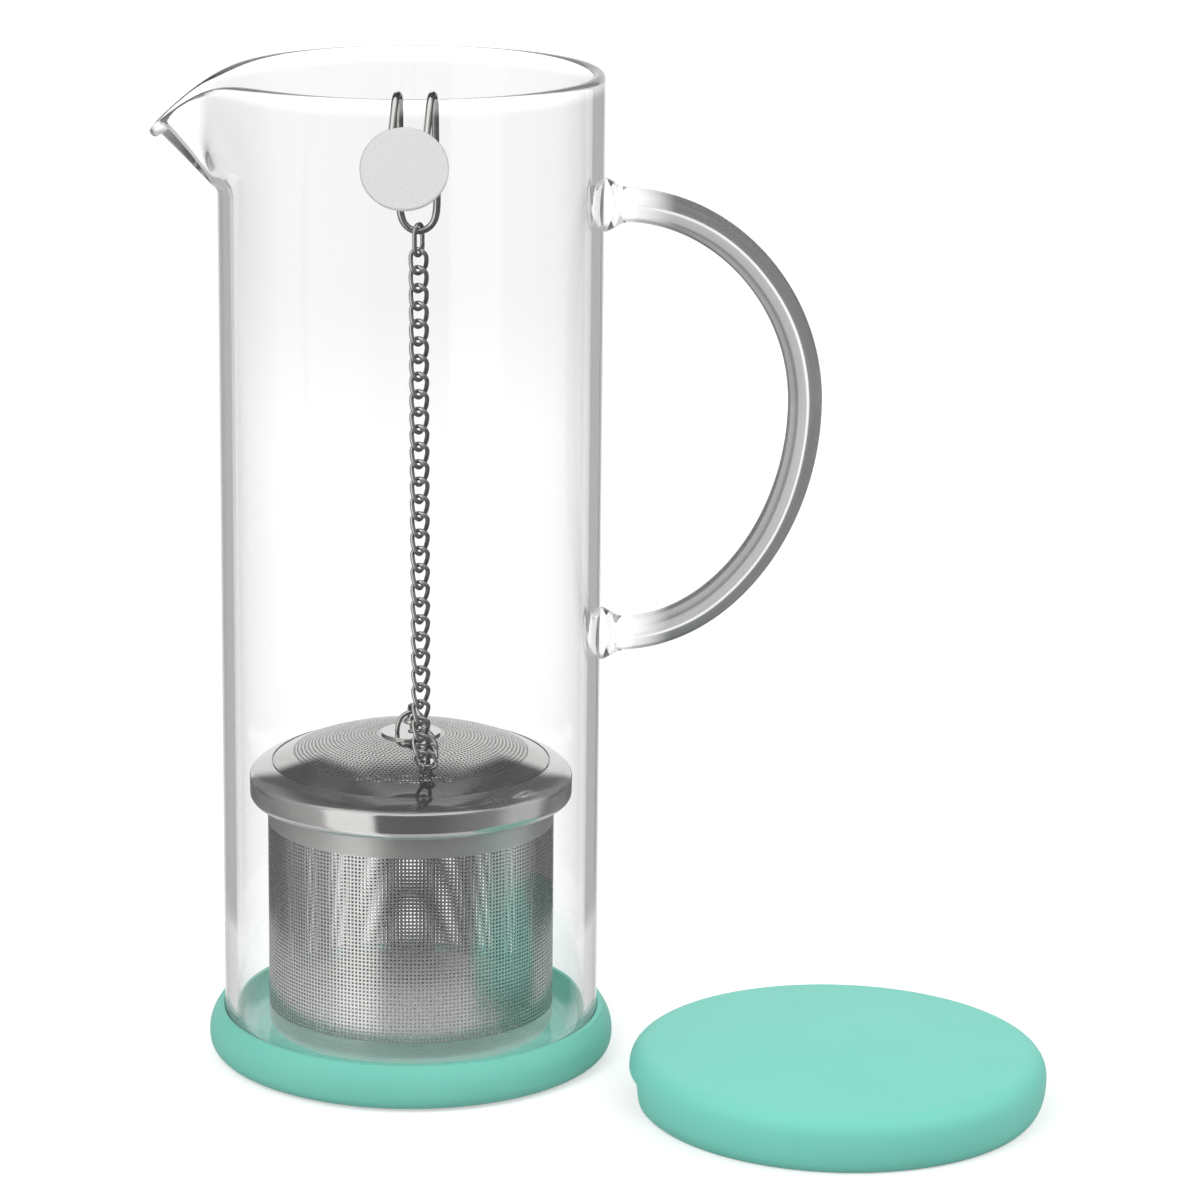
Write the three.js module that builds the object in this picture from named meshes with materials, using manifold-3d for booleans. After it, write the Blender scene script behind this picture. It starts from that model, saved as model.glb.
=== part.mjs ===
// Infusion pitcher: a glass jug in a silicone boot, with a perforated steel capsule on a chain
// hooked over the rim, and its silicone lid lying beside it.
// Millimetres, +Z up. The origin is the centre of the boot's underside, on the table.
// The pouring lip points to -X, the handle to +X, and the hook hangs on the rim at -Y.

import * as THREE from 'three';
import { mergeVertices } from 'three/addons/utils/BufferGeometryUtils.js';
import Module from 'manifold-3d';

const wasm = await Module();
wasm.setup();

// Clearances
const GAP = 0.3;
const LINK_PLAY = 0.5;
const LINK_SIDE_PLAY = 0.75;
const HOOK_CLEARANCE = 0.65;

// Glass body
const GLASS_RADIUS = 48;
const GLASS_WALL = 3;
const GLASS_FLOOR = 3.5;
const GLASS_HEEL = 8;
const RIM_HEIGHT = 253;

// Pouring lip: reach, fall and curl of the tip, how far down pull and curl start, and its spread in degrees
const LIP_REACH = 16.5;
const LIP_FALL = 10.3;
const LIP_CURL = 2.9;
const LIP_DEPTH = 29;
const LIP_CURL_DEPTH = 6.5;
const LIP_EASE = 3;
const LIP_SPREAD = 9.3;
const LIP_BLUNTNESS = 1.8;

// Handle: its top is measured down from the rim, its span and its apex down from its top
const HANDLE_ROD = 8.6;
const HANDLE_REACH = 50.7;
const HANDLE_DROP = 33.2;
const HANDLE_SPAN = 109.8;
const HANDLE_APEX_DROP = 50.2;
const HANDLE_ROUNDNESS = 0.54;
const WELD_DIAMETER = 13.5;
const WELD_LENGTH = 4.6;

// Silicone boot
const BASE_FLOOR = 3;
const BASE_FLARE = 4;
const BASE_BELLY_HEIGHT = 4.5;
const BASE_HEIGHT = 11.5;
const BASE_LIP = 1.2;
const BASE_FILLET_RELIEF = 2;

// Silicone lid
const LID_OVERHANG = 4;
const LID_HEIGHT = 17;
const LID_BELLY_HEIGHT = 8.5;
const LID_SHOULDER_HEIGHT = 14.4;
const LID_SHOULDER_INSET = 7;
const LID_SKIRT_EDGE = 0.9;
const LID_TUCK_HEIGHT = 2.1;
const LID_SEAT = 11.5;
const LID_CEILING = 13;
const LID_PLUG_WALL = 2.5;
const LID_PLUG_EDGE = 3;
const LID_NOTCH_WIDTH = 24;
const LID_NOTCH_HEIGHT = 8.5;
const LID_DISTANCE = 10.9;
const LID_BEARING = -21.8;

// Capsule: basket
const CAPSULE_CLEARANCE = 3.8;
const FLANGE_OVERHANG = 4.6;
const SHEET = 0.8;
const MESH_SHEET = 0.5;
const PAN_HEIGHT = 6.5;
const PAN_CORNER = 3;
const BASKET_HEIGHT = 66.3;
const COLLAR_HEIGHT = 5.6;
const COLLAR_ROUND = 2.7;

// Capsule: cap
const CAP_RIM_HEIGHT = 4.3;
const CAP_RIM_FALL = 3.4;
const CAP_RIM_SLOPE = 1;
const CAP_RIM_ROUND = 1;
const SLEEVE_DEPTH = 12.6;
const DOME_RISE = 6.5;
const PLATE_RADIUS = 7.7;
const PLATE_THICKNESS = 0.6;
const RIVET_SHANK = 4;
const RIVET_HEAD = 8;
const RIVET_HEAD_THICKNESS = 0.9;
const BAIL_WIRE = 1.2;
const BAIL_WIDTH = 7.6;
const BAIL_HEIGHT = 5.6;
const BAIL_TURN = 25;

// Hook and tag
const HOOK_WIRE = 1.8;
const HOOK_SPAN = 8.3;
const HOOK_OFFSET = 0.9;
const HOOK_SKEW = 0.18;
const HOOK_DEPTH = 32.4;
const HOOK_LEAN = 32;
const HOOK_TAIL = 24;
const TAG_DIAMETER = 21;
const TAG_THICKNESS = 1.2;
const TAG_DROP = 18.2;

// Chain: a link's twist, the chain's roll at the hook and its further turn down to the bail, in degrees
const LINK_COUNT = 38;
const LINK_WIRE = 1.1;
const LINK_TWIST = -90;
const CHAIN_ROLL = -6;
const CHAIN_TURN = -36;
const CONNECTOR_ROLL = -62;
const CONNECTOR_DROP = 5;
const FOLD_INSET = 0.6;
const FOLD_RADIUS = 8;
const FOLD_ROUNDNESS = 0.45;
const FOLD_OFFSET = 2.5;
const SLACK_BOW = 4.5;
const LANDING_INSET = 2.3;

// Facets
const GLASS_SEGMENTS = 60;
const LIP_CROWDING = 0.45;
const LIP_RINGS = 4;
const CURL_RINGS = 3;
const ROUND_SEGMENTS = 48;
const SMALL_SEGMENTS = 24;
const ARC_STEPS = 2;
const SOFT_ARC_STEPS = 3;
const BEND_STEPS = 4;
const ROD_SIDES = 10;
const ROD_STEPS = 32;
const WIRE_SIDES = 6;
const BAIL_STEPS = 16;
const HOOK_STEPS = 56;
const TAG_SEGMENTS = 40;
const LINK_SIDES = 5;
const LINK_STEPS = 12;

// Derived sizes
const BORE = GLASS_RADIUS - GLASS_WALL;
const HANDLE_TOP = RIM_HEIGHT - HANDLE_DROP;
const HANDLE_APEX = HANDLE_TOP - HANDLE_APEX_DROP;
const HANDLE_BOTTOM = HANDLE_TOP - HANDLE_SPAN;
const RIM_CENTRE = GLASS_RADIUS - GLASS_WALL / 2;
const INNER_FLOOR = BASE_FLOOR + GLASS_FLOOR;
const BASE_RADIUS = GLASS_RADIUS + BASE_FLARE;
const BASE_FILLET = GLASS_HEEL - BASE_FILLET_RELIEF;
const LID_RADIUS = GLASS_RADIUS + LID_OVERHANG;
const FLANGE_RADIUS = BORE - CAPSULE_CLEARANCE;
const BASKET_RADIUS = FLANGE_RADIUS - FLANGE_OVERHANG;
const BASKET_BORE = BASKET_RADIUS - MESH_SHEET;
const CAPSULE_BOTTOM = INNER_FLOOR + GAP;
const PAN_TOP = CAPSULE_BOTTOM + PAN_HEIGHT;
const BASKET_TOP = CAPSULE_BOTTOM + BASKET_HEIGHT;
const CAP_TOP = BASKET_TOP + CAP_RIM_HEIGHT;
const SLEEVE_TOP = CAP_TOP - SHEET;
const SLEEVE_RADIUS = BASKET_BORE - GAP;
const DOME_EDGE = SLEEVE_RADIUS - GAP - SHEET / 2;
const DOME_TOP = CAP_TOP + DOME_RISE;
const PLATE_TOP = DOME_TOP + PLATE_THICKNESS;
const BAIL_APEX = PLATE_TOP + BAIL_HEIGHT - BAIL_WIRE / 2;
const LINK_HALF_WIDTH = LINK_WIRE + LINK_SIDE_PLAY;
const LINK_LIFT = LINK_HALF_WIDTH + LINK_WIRE / 2 + GAP;
const HOOK_BOTTOM = RIM_HEIGHT - HOOK_DEPTH;
const HOOK_BEND = (GLASS_WALL + HOOK_WIRE) / 2 + HOOK_CLEARANCE;
const HOOK_U_RADIUS = BORE - HOOK_WIRE / 2 - LINK_WIRE - 2 * HOOK_CLEARANCE;

// Finishes
const GLASS = { color: 0xeef4f1, roughness: 0.03, metalness: 0, transparent: true, opacity: 0.35 };
const SILICONE = { color: 0x7fd8c4, roughness: 0.55, metalness: 0 };
const POLISHED = { color: 0xb9b8b5, roughness: 0.12, metalness: 1 };
const SATIN = { color: 0xa9a8a4, roughness: 0.32, metalness: 1 };

const pitcher = new THREE.Group();

function place(parent, name, geometry, finish) {
  const mesh = new THREE.Mesh(geometry, new THREE.MeshStandardMaterial(finish));
  mesh.name = name;
  parent.add(mesh);
  return mesh;
}

// A profile drawn as radius and height, turned about the Z axis.
function turned(profile, segments = ROUND_SEGMENTS, arcSteps = ARC_STEPS) {
  const geometry = new THREE.LatheGeometry(profile.getPoints(arcSteps), segments);
  return geometry.rotateX(Math.PI / 2);
}

// A ring of flat-ended tube between two radii and two heights.
function tube(outer, inner, low, high) {
  const profile = new THREE.Path();
  profile.moveTo(outer, low);
  profile.lineTo(outer, high);
  profile.lineTo(inner, high);
  profile.lineTo(inner, low);
  profile.lineTo(outer, low);
  return turned(profile);
}

function wireSection(diameter, sides) {
  const points = [];
  for (let i = 0; i < sides; i += 1) {
    const angle = (2 * Math.PI * i) / sides;
    points.push(new THREE.Vector2(Math.cos(angle), Math.sin(angle)).multiplyScalar(diameter / 2));
  }
  return new THREE.Shape(points);
}

// A wire or rod of round section along an open curve.
function rod(curve, diameter, sides, steps) {
  const options = { extrudePath: curve, steps, bevelEnabled: false };
  return new THREE.ExtrudeGeometry(wireSection(diameter, sides), options);
}

function toSolid(geometry) {
  const bare = geometry.clone();
  bare.deleteAttribute('normal');
  bare.deleteAttribute('uv');
  const merged = mergeVertices(bare);
  const vertProperties = new Float32Array(merged.attributes.position.array);
  const triVerts = new Uint32Array(merged.index.array);
  return new wasm.Manifold(new wasm.Mesh({ numProp: 3, vertProperties, triVerts }));
}

function cut(geometry, tool) {
  const mesh = toSolid(geometry).subtract(toSolid(tool)).getMesh();
  const result = new THREE.BufferGeometry();
  result.setAttribute('position', new THREE.BufferAttribute(mesh.vertProperties, 3));
  result.setIndex(new THREE.BufferAttribute(mesh.triVerts, 1));
  return result;
}

// Glass body

// Heights above the lip's start at which the wall has a ring, up to the rim's round edge.
function lipRings() {
  const straight = LIP_DEPTH - LIP_CURL_DEPTH;
  const curled = LIP_CURL_DEPTH - GLASS_WALL / 2;
  const rings = [];
  for (let i = 0; i < LIP_RINGS; i += 1) {
    rings.push((straight * i) / LIP_RINGS);
  }
  for (let i = 0; i < CURL_RINGS; i += 1) {
    rings.push(straight + (curled * i) / CURL_RINGS);
  }
  return rings;
}

function glassProfile() {
  const lipStart = RIM_HEIGHT - LIP_DEPTH;
  const edge = GLASS_WALL / 2;
  const innerHeel = GLASS_HEEL - GLASS_WALL;
  const rings = lipRings();
  const profile = new THREE.Path();
  profile.moveTo(0, BASE_FLOOR);
  profile.lineTo(GLASS_RADIUS - GLASS_HEEL, BASE_FLOOR);
  profile.absarc(GLASS_RADIUS - GLASS_HEEL, BASE_FLOOR + GLASS_HEEL, GLASS_HEEL, -Math.PI / 2, 0, false);
  rings.forEach((height) => profile.lineTo(GLASS_RADIUS, lipStart + height));
  profile.absarc(RIM_CENTRE, RIM_HEIGHT - edge, edge, 0, Math.PI, false);
  rings.reverse().forEach((height) => profile.lineTo(BORE, lipStart + height));
  profile.absarc(BORE - innerHeel, INNER_FLOOR + innerHeel, innerHeel, 0, -Math.PI / 2, true);
  profile.lineTo(0, INNER_FLOOR);
  return profile;
}

// Radius and height of a point of the wall when it is pulled out by a share of the lip's reach.
function pulledPoint(radius, z, pull) {
  const run = LIP_DEPTH - GLASS_WALL / 2;
  const curlRun = LIP_CURL_DEPTH - GLASS_WALL / 2;
  const climb = z - (RIM_HEIGHT - LIP_DEPTH);
  const rise = THREE.MathUtils.clamp(climb, 0, run);
  const beyond = Math.max(0, climb - run);
  const across = radius - RIM_CENTRE;
  const curl = Math.max(0, rise - run + curlRun) / curlRun;
  const out = (LIP_REACH * pull * rise) / run;
  const fall = (LIP_FALL * pull * rise) / run + LIP_CURL * pull ** 2 * curl ** 2;
  const ease = Math.min(1, rise / LIP_EASE);
  const outward = (ease * LIP_REACH * pull) / run;
  const upward = 1 - ease * ((LIP_FALL * pull) / run + (2 * LIP_CURL * pull ** 2 * curl) / curlRun);
  const along = new THREE.Vector2(outward, upward).normalize();
  const middle = new THREE.Vector2(RIM_CENTRE + out, z - beyond - fall);
  middle.x += along.y * across + along.x * beyond;
  middle.y += along.y * beyond - along.x * across;
  return middle;
}

// The lip is pulled out of the round wall at -X: most at the rim, fading downwards and sideways.
function pullLip(geometry) {
  const position = geometry.attributes.position;
  const point = new THREE.Vector3();
  for (let i = 0; i < position.count; i += 1) {
    point.fromBufferAttribute(position, i);
    const even = Math.atan2(point.y, -point.x);
    const bearing = even - LIP_CROWDING * Math.sin(even);
    const degrees = Math.abs(THREE.MathUtils.radToDeg(bearing));
    const aside = Math.hypot(degrees, LIP_BLUNTNESS) - LIP_BLUNTNESS;
    const pulled = pulledPoint(Math.hypot(point.x, point.y), point.z, Math.exp(-aside / LIP_SPREAD));
    position.setXYZ(i, -pulled.x * Math.cos(bearing), pulled.x * Math.sin(bearing), pulled.y);
  }
  return geometry;
}

place(pitcher, 'glass_body', pullLip(turned(glassProfile(), GLASS_SEGMENTS)), GLASS);

// Handle: a rod bent to a D, with a flared weld at each end

const weldFace = GLASS_RADIUS + WELD_LENGTH;

function handleBranch(height) {
  const apex = GLASS_RADIUS + HANDLE_REACH;
  const out = (apex - weldFace) * HANDLE_ROUNDNESS;
  const along = (height - HANDLE_APEX) * HANDLE_ROUNDNESS;
  return new THREE.CubicBezierCurve3(
    new THREE.Vector3(weldFace + GAP, 0, height),
    new THREE.Vector3(weldFace + GAP + out, 0, height),
    new THREE.Vector3(apex, 0, HANDLE_APEX + along),
    new THREE.Vector3(apex, 0, HANDLE_APEX),
  );
}

function handleCurve() {
  const upper = handleBranch(HANDLE_TOP);
  const lower = handleBranch(HANDLE_BOTTOM);
  const curve = new THREE.CurvePath();
  curve.add(upper);
  curve.add(new THREE.CubicBezierCurve3(lower.v3, lower.v2, lower.v1, lower.v0));
  return curve;
}

function weldGeometry(height) {
  const profile = new THREE.Path();
  profile.moveTo(0, -GLASS_WALL);
  profile.lineTo(WELD_DIAMETER / 2, -GLASS_WALL);
  profile.lineTo(WELD_DIAMETER / 2, GAP);
  profile.quadraticCurveTo(HANDLE_ROD / 2, WELD_LENGTH / 2, HANDLE_ROD / 2, WELD_LENGTH);
  profile.lineTo(0, WELD_LENGTH);
  const flare = turned(profile, SMALL_SEGMENTS);
  flare.rotateY(Math.PI / 2);
  flare.translate(GLASS_RADIUS, 0, height);
  const clear = GLASS_RADIUS + GAP;
  const wall = new THREE.CylinderGeometry(clear, clear, RIM_HEIGHT, 2 * GLASS_SEGMENTS);
  wall.rotateX(Math.PI / 2);
  wall.translate(0, 0, height);
  return cut(flare, wall);
}

place(pitcher, 'glass_handle', rod(handleCurve(), HANDLE_ROD, ROD_SIDES, ROD_STEPS), GLASS);
place(pitcher, 'upper_handle_weld', weldGeometry(HANDLE_TOP), GLASS);
place(pitcher, 'lower_handle_weld', weldGeometry(HANDLE_BOTTOM), GLASS);

// Silicone boot

function baseProfile() {
  const bore = GLASS_RADIUS + GAP;
  const lip = bore + BASE_LIP;
  const profile = new THREE.Path();
  profile.moveTo(0, 0);
  profile.lineTo(BASE_RADIUS - BASE_BELLY_HEIGHT, 0);
  profile.quadraticCurveTo(BASE_RADIUS, 0, BASE_RADIUS, BASE_BELLY_HEIGHT);
  profile.bezierCurveTo(
    BASE_RADIUS,
    (BASE_BELLY_HEIGHT + BASE_HEIGHT) / 2,
    (BASE_RADIUS + lip) / 2,
    BASE_HEIGHT - BASE_FLARE / 2,
    lip,
    BASE_HEIGHT,
  );
  profile.lineTo(bore, BASE_HEIGHT);
  profile.absarc(bore - BASE_FILLET, BASE_FLOOR + BASE_FILLET, BASE_FILLET, 0, -Math.PI / 2, true);
  profile.lineTo(0, BASE_FLOOR);
  return profile;
}

place(pitcher, 'silicone_base', turned(baseProfile(), ROUND_SEGMENTS, SOFT_ARC_STEPS), SILICONE);

// Silicone lid, lying on the table with its notch towards the lip's side

function lidProfile() {
  const skirtBore = GLASS_RADIUS + GAP;
  const plug = BORE - GAP;
  const plugBore = plug - LID_PLUG_WALL;
  const shoulder = LID_RADIUS - LID_SHOULDER_INSET;
  const skirtEdge = skirtBore + LID_SKIRT_EDGE;
  const profile = new THREE.Path();
  profile.moveTo(skirtBore, 0);
  profile.lineTo(skirtEdge, 0);
  profile.quadraticCurveTo(LID_RADIUS, LID_TUCK_HEIGHT, LID_RADIUS, LID_BELLY_HEIGHT);
  profile.quadraticCurveTo(LID_RADIUS, LID_SHOULDER_HEIGHT, shoulder, LID_SHOULDER_HEIGHT);
  profile.quadraticCurveTo(shoulder / 2, LID_HEIGHT, 0, LID_HEIGHT);
  profile.lineTo(0, LID_CEILING);
  profile.lineTo(plugBore, LID_CEILING);
  profile.lineTo(plugBore, LID_PLUG_EDGE);
  profile.lineTo(plug, LID_PLUG_EDGE);
  profile.lineTo(plug, LID_SEAT);
  profile.lineTo(skirtBore, LID_SEAT);
  profile.lineTo(skirtBore, 0);
  return profile;
}

function lidGeometry() {
  const notchDepth = LID_RADIUS - BORE;
  const notch = new THREE.BoxGeometry(2 * notchDepth, LID_NOTCH_WIDTH, 2 * LID_NOTCH_HEIGHT);
  notch.translate(-LID_RADIUS, 0, 0);
  return cut(turned(lidProfile(), ROUND_SEGMENTS, SOFT_ARC_STEPS), notch);
}

const lid = place(pitcher, 'silicone_lid', lidGeometry(), SILICONE);
const lidBearing = THREE.MathUtils.degToRad(LID_BEARING);
const lidRange = BASE_RADIUS + LID_DISTANCE + LID_RADIUS;
lid.position.set(lidRange * Math.cos(lidBearing), lidRange * Math.sin(lidBearing), 0);

// Capsule: perforated wall, floor pan and collar

function panProfile() {
  const inner = BASKET_RADIUS - SHEET;
  const corner = BASKET_RADIUS - PAN_CORNER;
  const profile = new THREE.Path();
  profile.moveTo(0, CAPSULE_BOTTOM);
  profile.lineTo(corner, CAPSULE_BOTTOM);
  profile.absarc(corner, CAPSULE_BOTTOM + PAN_CORNER, PAN_CORNER, -Math.PI / 2, 0, false);
  profile.lineTo(BASKET_RADIUS, PAN_TOP);
  profile.lineTo(inner, PAN_TOP);
  profile.absarc(corner, CAPSULE_BOTTOM + PAN_CORNER, PAN_CORNER - SHEET, 0, -Math.PI / 2, true);
  profile.lineTo(0, CAPSULE_BOTTOM + SHEET);
  return profile;
}

function collarProfile() {
  const bore = BASKET_RADIUS + GAP;
  const low = BASKET_TOP - COLLAR_HEIGHT;
  const turn = FLANGE_RADIUS - COLLAR_ROUND;
  const profile = new THREE.Path();
  profile.moveTo(bore, low);
  profile.lineTo(turn, low);
  profile.absarc(turn, low + COLLAR_ROUND, COLLAR_ROUND, -Math.PI / 2, 0, false);
  profile.lineTo(FLANGE_RADIUS, BASKET_TOP);
  profile.lineTo(FLANGE_RADIUS - SHEET, BASKET_TOP);
  profile.absarc(turn, low + COLLAR_ROUND, COLLAR_ROUND - SHEET, 0, -Math.PI / 2, true);
  profile.lineTo(bore + SHEET, low + SHEET);
  profile.lineTo(bore + SHEET, BASKET_TOP);
  profile.lineTo(bore, BASKET_TOP);
  profile.lineTo(bore, low);
  return profile;
}

place(pitcher, 'basket_wall', tube(BASKET_RADIUS, BASKET_BORE, PAN_TOP, BASKET_TOP), SATIN);
place(pitcher, 'basket_floor_pan', turned(panProfile()), SATIN);
place(pitcher, 'basket_collar', turned(collarProfile()), POLISHED);

// Capsule: cap rim, sleeve, mesh dome, centre plate and its rivet

function capRimProfile() {
  const inner = DOME_EDGE + GAP;
  const flat = SLEEVE_RADIUS + GAP;
  const crown = (flat + FLANGE_RADIUS) / 2;
  const side = FLANGE_RADIUS - SHEET;
  const edge = CAP_TOP - CAP_RIM_FALL;
  const bend = edge + CAP_RIM_ROUND;
  const profile = new THREE.Path();
  profile.moveTo(FLANGE_RADIUS, BASKET_TOP);
  profile.lineTo(FLANGE_RADIUS, edge);
  profile.bezierCurveTo(FLANGE_RADIUS, bend, crown, CAP_TOP - CAP_RIM_SLOPE, flat, CAP_TOP);
  profile.lineTo(inner, CAP_TOP);
  profile.lineTo(inner, SLEEVE_TOP);
  profile.lineTo(flat, SLEEVE_TOP);
  profile.bezierCurveTo(crown, SLEEVE_TOP - CAP_RIM_SLOPE, side, bend - SHEET, side, edge);
  profile.lineTo(side, BASKET_TOP);
  profile.lineTo(FLANGE_RADIUS, BASKET_TOP);
  return profile;
}

function domeProfile() {
  const flat = PLATE_RADIUS + GAP;
  const crown = (flat + DOME_EDGE) / 2;
  const hole = RIVET_SHANK / 2 + GAP;
  const profile = new THREE.Path();
  profile.moveTo(hole, DOME_TOP - SHEET);
  profile.lineTo(flat, DOME_TOP - SHEET);
  profile.quadraticCurveTo(crown, DOME_TOP - SHEET, DOME_EDGE, SLEEVE_TOP);
  profile.lineTo(DOME_EDGE, CAP_TOP);
  profile.quadraticCurveTo(crown, DOME_TOP, flat, DOME_TOP);
  profile.lineTo(hole, DOME_TOP);
  profile.lineTo(hole, DOME_TOP - SHEET);
  return profile;
}

function rivetProfile() {
  const headTop = DOME_TOP - SHEET - GAP;
  const profile = new THREE.Path();
  profile.moveTo(0, headTop - RIVET_HEAD_THICKNESS);
  profile.lineTo(RIVET_HEAD / 2, headTop - RIVET_HEAD_THICKNESS);
  profile.lineTo(RIVET_HEAD / 2, headTop);
  profile.lineTo(RIVET_SHANK / 2, headTop);
  profile.lineTo(RIVET_SHANK / 2, DOME_TOP);
  profile.lineTo(0, DOME_TOP);
  return profile;
}

function plateGeometry() {
  const plate = new THREE.CylinderGeometry(PLATE_RADIUS, PLATE_RADIUS, PLATE_THICKNESS, SMALL_SEGMENTS);
  plate.rotateX(Math.PI / 2);
  return plate.translate(0, 0, DOME_TOP + PLATE_THICKNESS / 2);
}

function bailCurve() {
  const half = BAIL_WIDTH / 2;
  const spring = BAIL_APEX - half;
  const points = [new THREE.Vector3(-half, 0, PLATE_TOP)];
  for (let i = 0; i <= BEND_STEPS; i += 1) {
    const angle = Math.PI * (1 - i / BEND_STEPS);
    points.push(new THREE.Vector3(half * Math.cos(angle), 0, spring + half * Math.sin(angle)));
  }
  points.push(new THREE.Vector3(half, 0, PLATE_TOP));
  return new THREE.CatmullRomCurve3(points);
}

const sleeve = tube(SLEEVE_RADIUS, SLEEVE_RADIUS - SHEET, SLEEVE_TOP - SLEEVE_DEPTH, SLEEVE_TOP);
place(pitcher, 'cap_rim', turned(capRimProfile(), ROUND_SEGMENTS, SOFT_ARC_STEPS), POLISHED);
place(pitcher, 'cap_sleeve', sleeve, SATIN);
place(pitcher, 'cap_mesh_dome', turned(domeProfile()), SATIN);
place(pitcher, 'cap_centre_plate', plateGeometry(), POLISHED);
place(pitcher, 'swivel_rivet', turned(rivetProfile(), SMALL_SEGMENTS), SATIN);
const bail = place(pitcher, 'chain_bail', rod(bailCurve(), BAIL_WIRE, WIRE_SIDES, BAIL_STEPS), POLISHED);
bail.rotation.z = THREE.MathUtils.degToRad(BAIL_TURN);

// Hook: one wire, up from the tag, over the rim on two prongs, and down to a U inside

// A point of the hook at a distance from the jug's axis, on one of its legs or between them.
function hookPoint(across, radius, height) {
  return new THREE.Vector3(HOOK_OFFSET + across - HOOK_SKEW * (radius - RIM_CENTRE), -radius, height);
}

const lean = THREE.MathUtils.degToRad(HOOK_LEAN);
const bendHeight = RIM_HEIGHT - GLASS_WALL / 2;
const tailStart = new THREE.Vector2(Math.cos(lean), Math.sin(lean)).multiplyScalar(HOOK_BEND);

// Along the straight outer leg, which leans away from the glass.
function tailPoint(across, distance, offset) {
  const radius = RIM_CENTRE + tailStart.x + distance * Math.sin(lean) + offset * Math.cos(lean);
  const height = bendHeight + tailStart.y - distance * Math.cos(lean) + offset * Math.sin(lean);
  return hookPoint(across, radius, height);
}

function hookLeg(side) {
  const across = (side * HOOK_SPAN) / 2;
  const points = [tailPoint(across, HOOK_TAIL, 0), tailPoint(across, HOOK_TAIL / 2, 0)];
  for (let i = 0; i <= BEND_STEPS; i += 1) {
    const angle = lean + ((Math.PI - lean) * i) / BEND_STEPS;
    const radius = RIM_CENTRE + HOOK_BEND * Math.cos(angle);
    points.push(hookPoint(across, radius, bendHeight + HOOK_BEND * Math.sin(angle)));
  }
  const low = HOOK_BOTTOM + HOOK_SPAN / 2;
  const inner = RIM_CENTRE - HOOK_BEND;
  points.push(hookPoint(across, (inner + HOOK_U_RADIUS) / 2, (bendHeight + low) / 2));
  points.push(hookPoint(across, HOOK_U_RADIUS, low));
  return points;
}

function hookCurve() {
  const points = hookLeg(-1);
  const low = HOOK_BOTTOM + HOOK_SPAN / 2;
  for (let i = 1; i < BEND_STEPS; i += 1) {
    const angle = Math.PI * (1 + i / BEND_STEPS);
    const across = (HOOK_SPAN / 2) * Math.cos(angle);
    points.push(hookPoint(across, HOOK_U_RADIUS, low + (HOOK_SPAN / 2) * Math.sin(angle)));
  }
  points.push(...hookLeg(1).reverse());
  return new THREE.CatmullRomCurve3(points);
}

function tagGeometry() {
  const tag = new THREE.CylinderGeometry(TAG_DIAMETER / 2, TAG_DIAMETER / 2, TAG_THICKNESS, TAG_SEGMENTS);
  tag.rotateX(-lean);
  return tag;
}

place(pitcher, 'hook_wire', rod(hookCurve(), HOOK_WIRE, WIRE_SIDES, HOOK_STEPS), POLISHED);
const tag = place(pitcher, 'tag_disc', tagGeometry(), POLISHED);
tag.position.copy(tailPoint(0, TAG_DROP, (HOOK_WIRE + TAG_THICKNESS) / 2 + GAP));

// Chain: an untwisted connector on the hook, then twisted curb links, folded on the cap's dome

// The closed centreline of a link along X, its plane turning by the twist from end to end.
class LinkCurve extends THREE.Curve {
  constructor(length, halfWidth, twist) {
    super();
    this.straight = length - 2 * halfWidth;
    this.length = length;
    this.halfWidth = halfWidth;
    this.twist = twist;
  }

  getPoint(t, target = new THREE.Vector3()) {
    const bend = Math.PI * this.halfWidth;
    const half = this.straight + bend;
    const side = t % 1 < 0.5 ? 1 : -1;
    const along = 2 * (t % 0.5) * half;
    let x = along - this.straight / 2;
    let across = this.halfWidth;
    if (along > this.straight) {
      const angle = (along - this.straight) / this.halfWidth;
      x = this.straight / 2 + this.halfWidth * Math.sin(angle);
      across = this.halfWidth * Math.cos(angle);
    }
    const turn = ((side * x) / this.length) * this.twist;
    return target.set(side * x, side * across * Math.cos(turn), side * across * Math.sin(turn));
  }
}

function linkGeometry(length, halfWidth, twist) {
  const curve = new LinkCurve(length, halfWidth, THREE.MathUtils.degToRad(twist));
  return new THREE.TubeGeometry(curve, LINK_STEPS, LINK_WIRE / 2, LINK_SIDES, true);
}

function domeHeight(radius) {
  const flat = PLATE_RADIUS + GAP;
  const share = Math.max(0, radius - flat) / (DOME_EDGE - flat);
  return DOME_TOP - DOME_RISE * share ** 2;
}

// A point of the chain's centreline where it lies on the dome.
function lyingPoint(x, radius) {
  return new THREE.Vector3(x, -radius, domeHeight(radius) + LINK_LIFT);
}

const hookBottom = hookPoint(0, HOOK_U_RADIUS, HOOK_BOTTOM);
const foldTop = lyingPoint(FOLD_OFFSET, DOME_EDGE - FOLD_INSET);
foldTop.z += FOLD_RADIUS;
const hang = foldTop.clone().sub(hookBottom).normalize();
const chainStart = hookBottom.clone().addScaledVector(hang, CONNECTOR_DROP);

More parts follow.
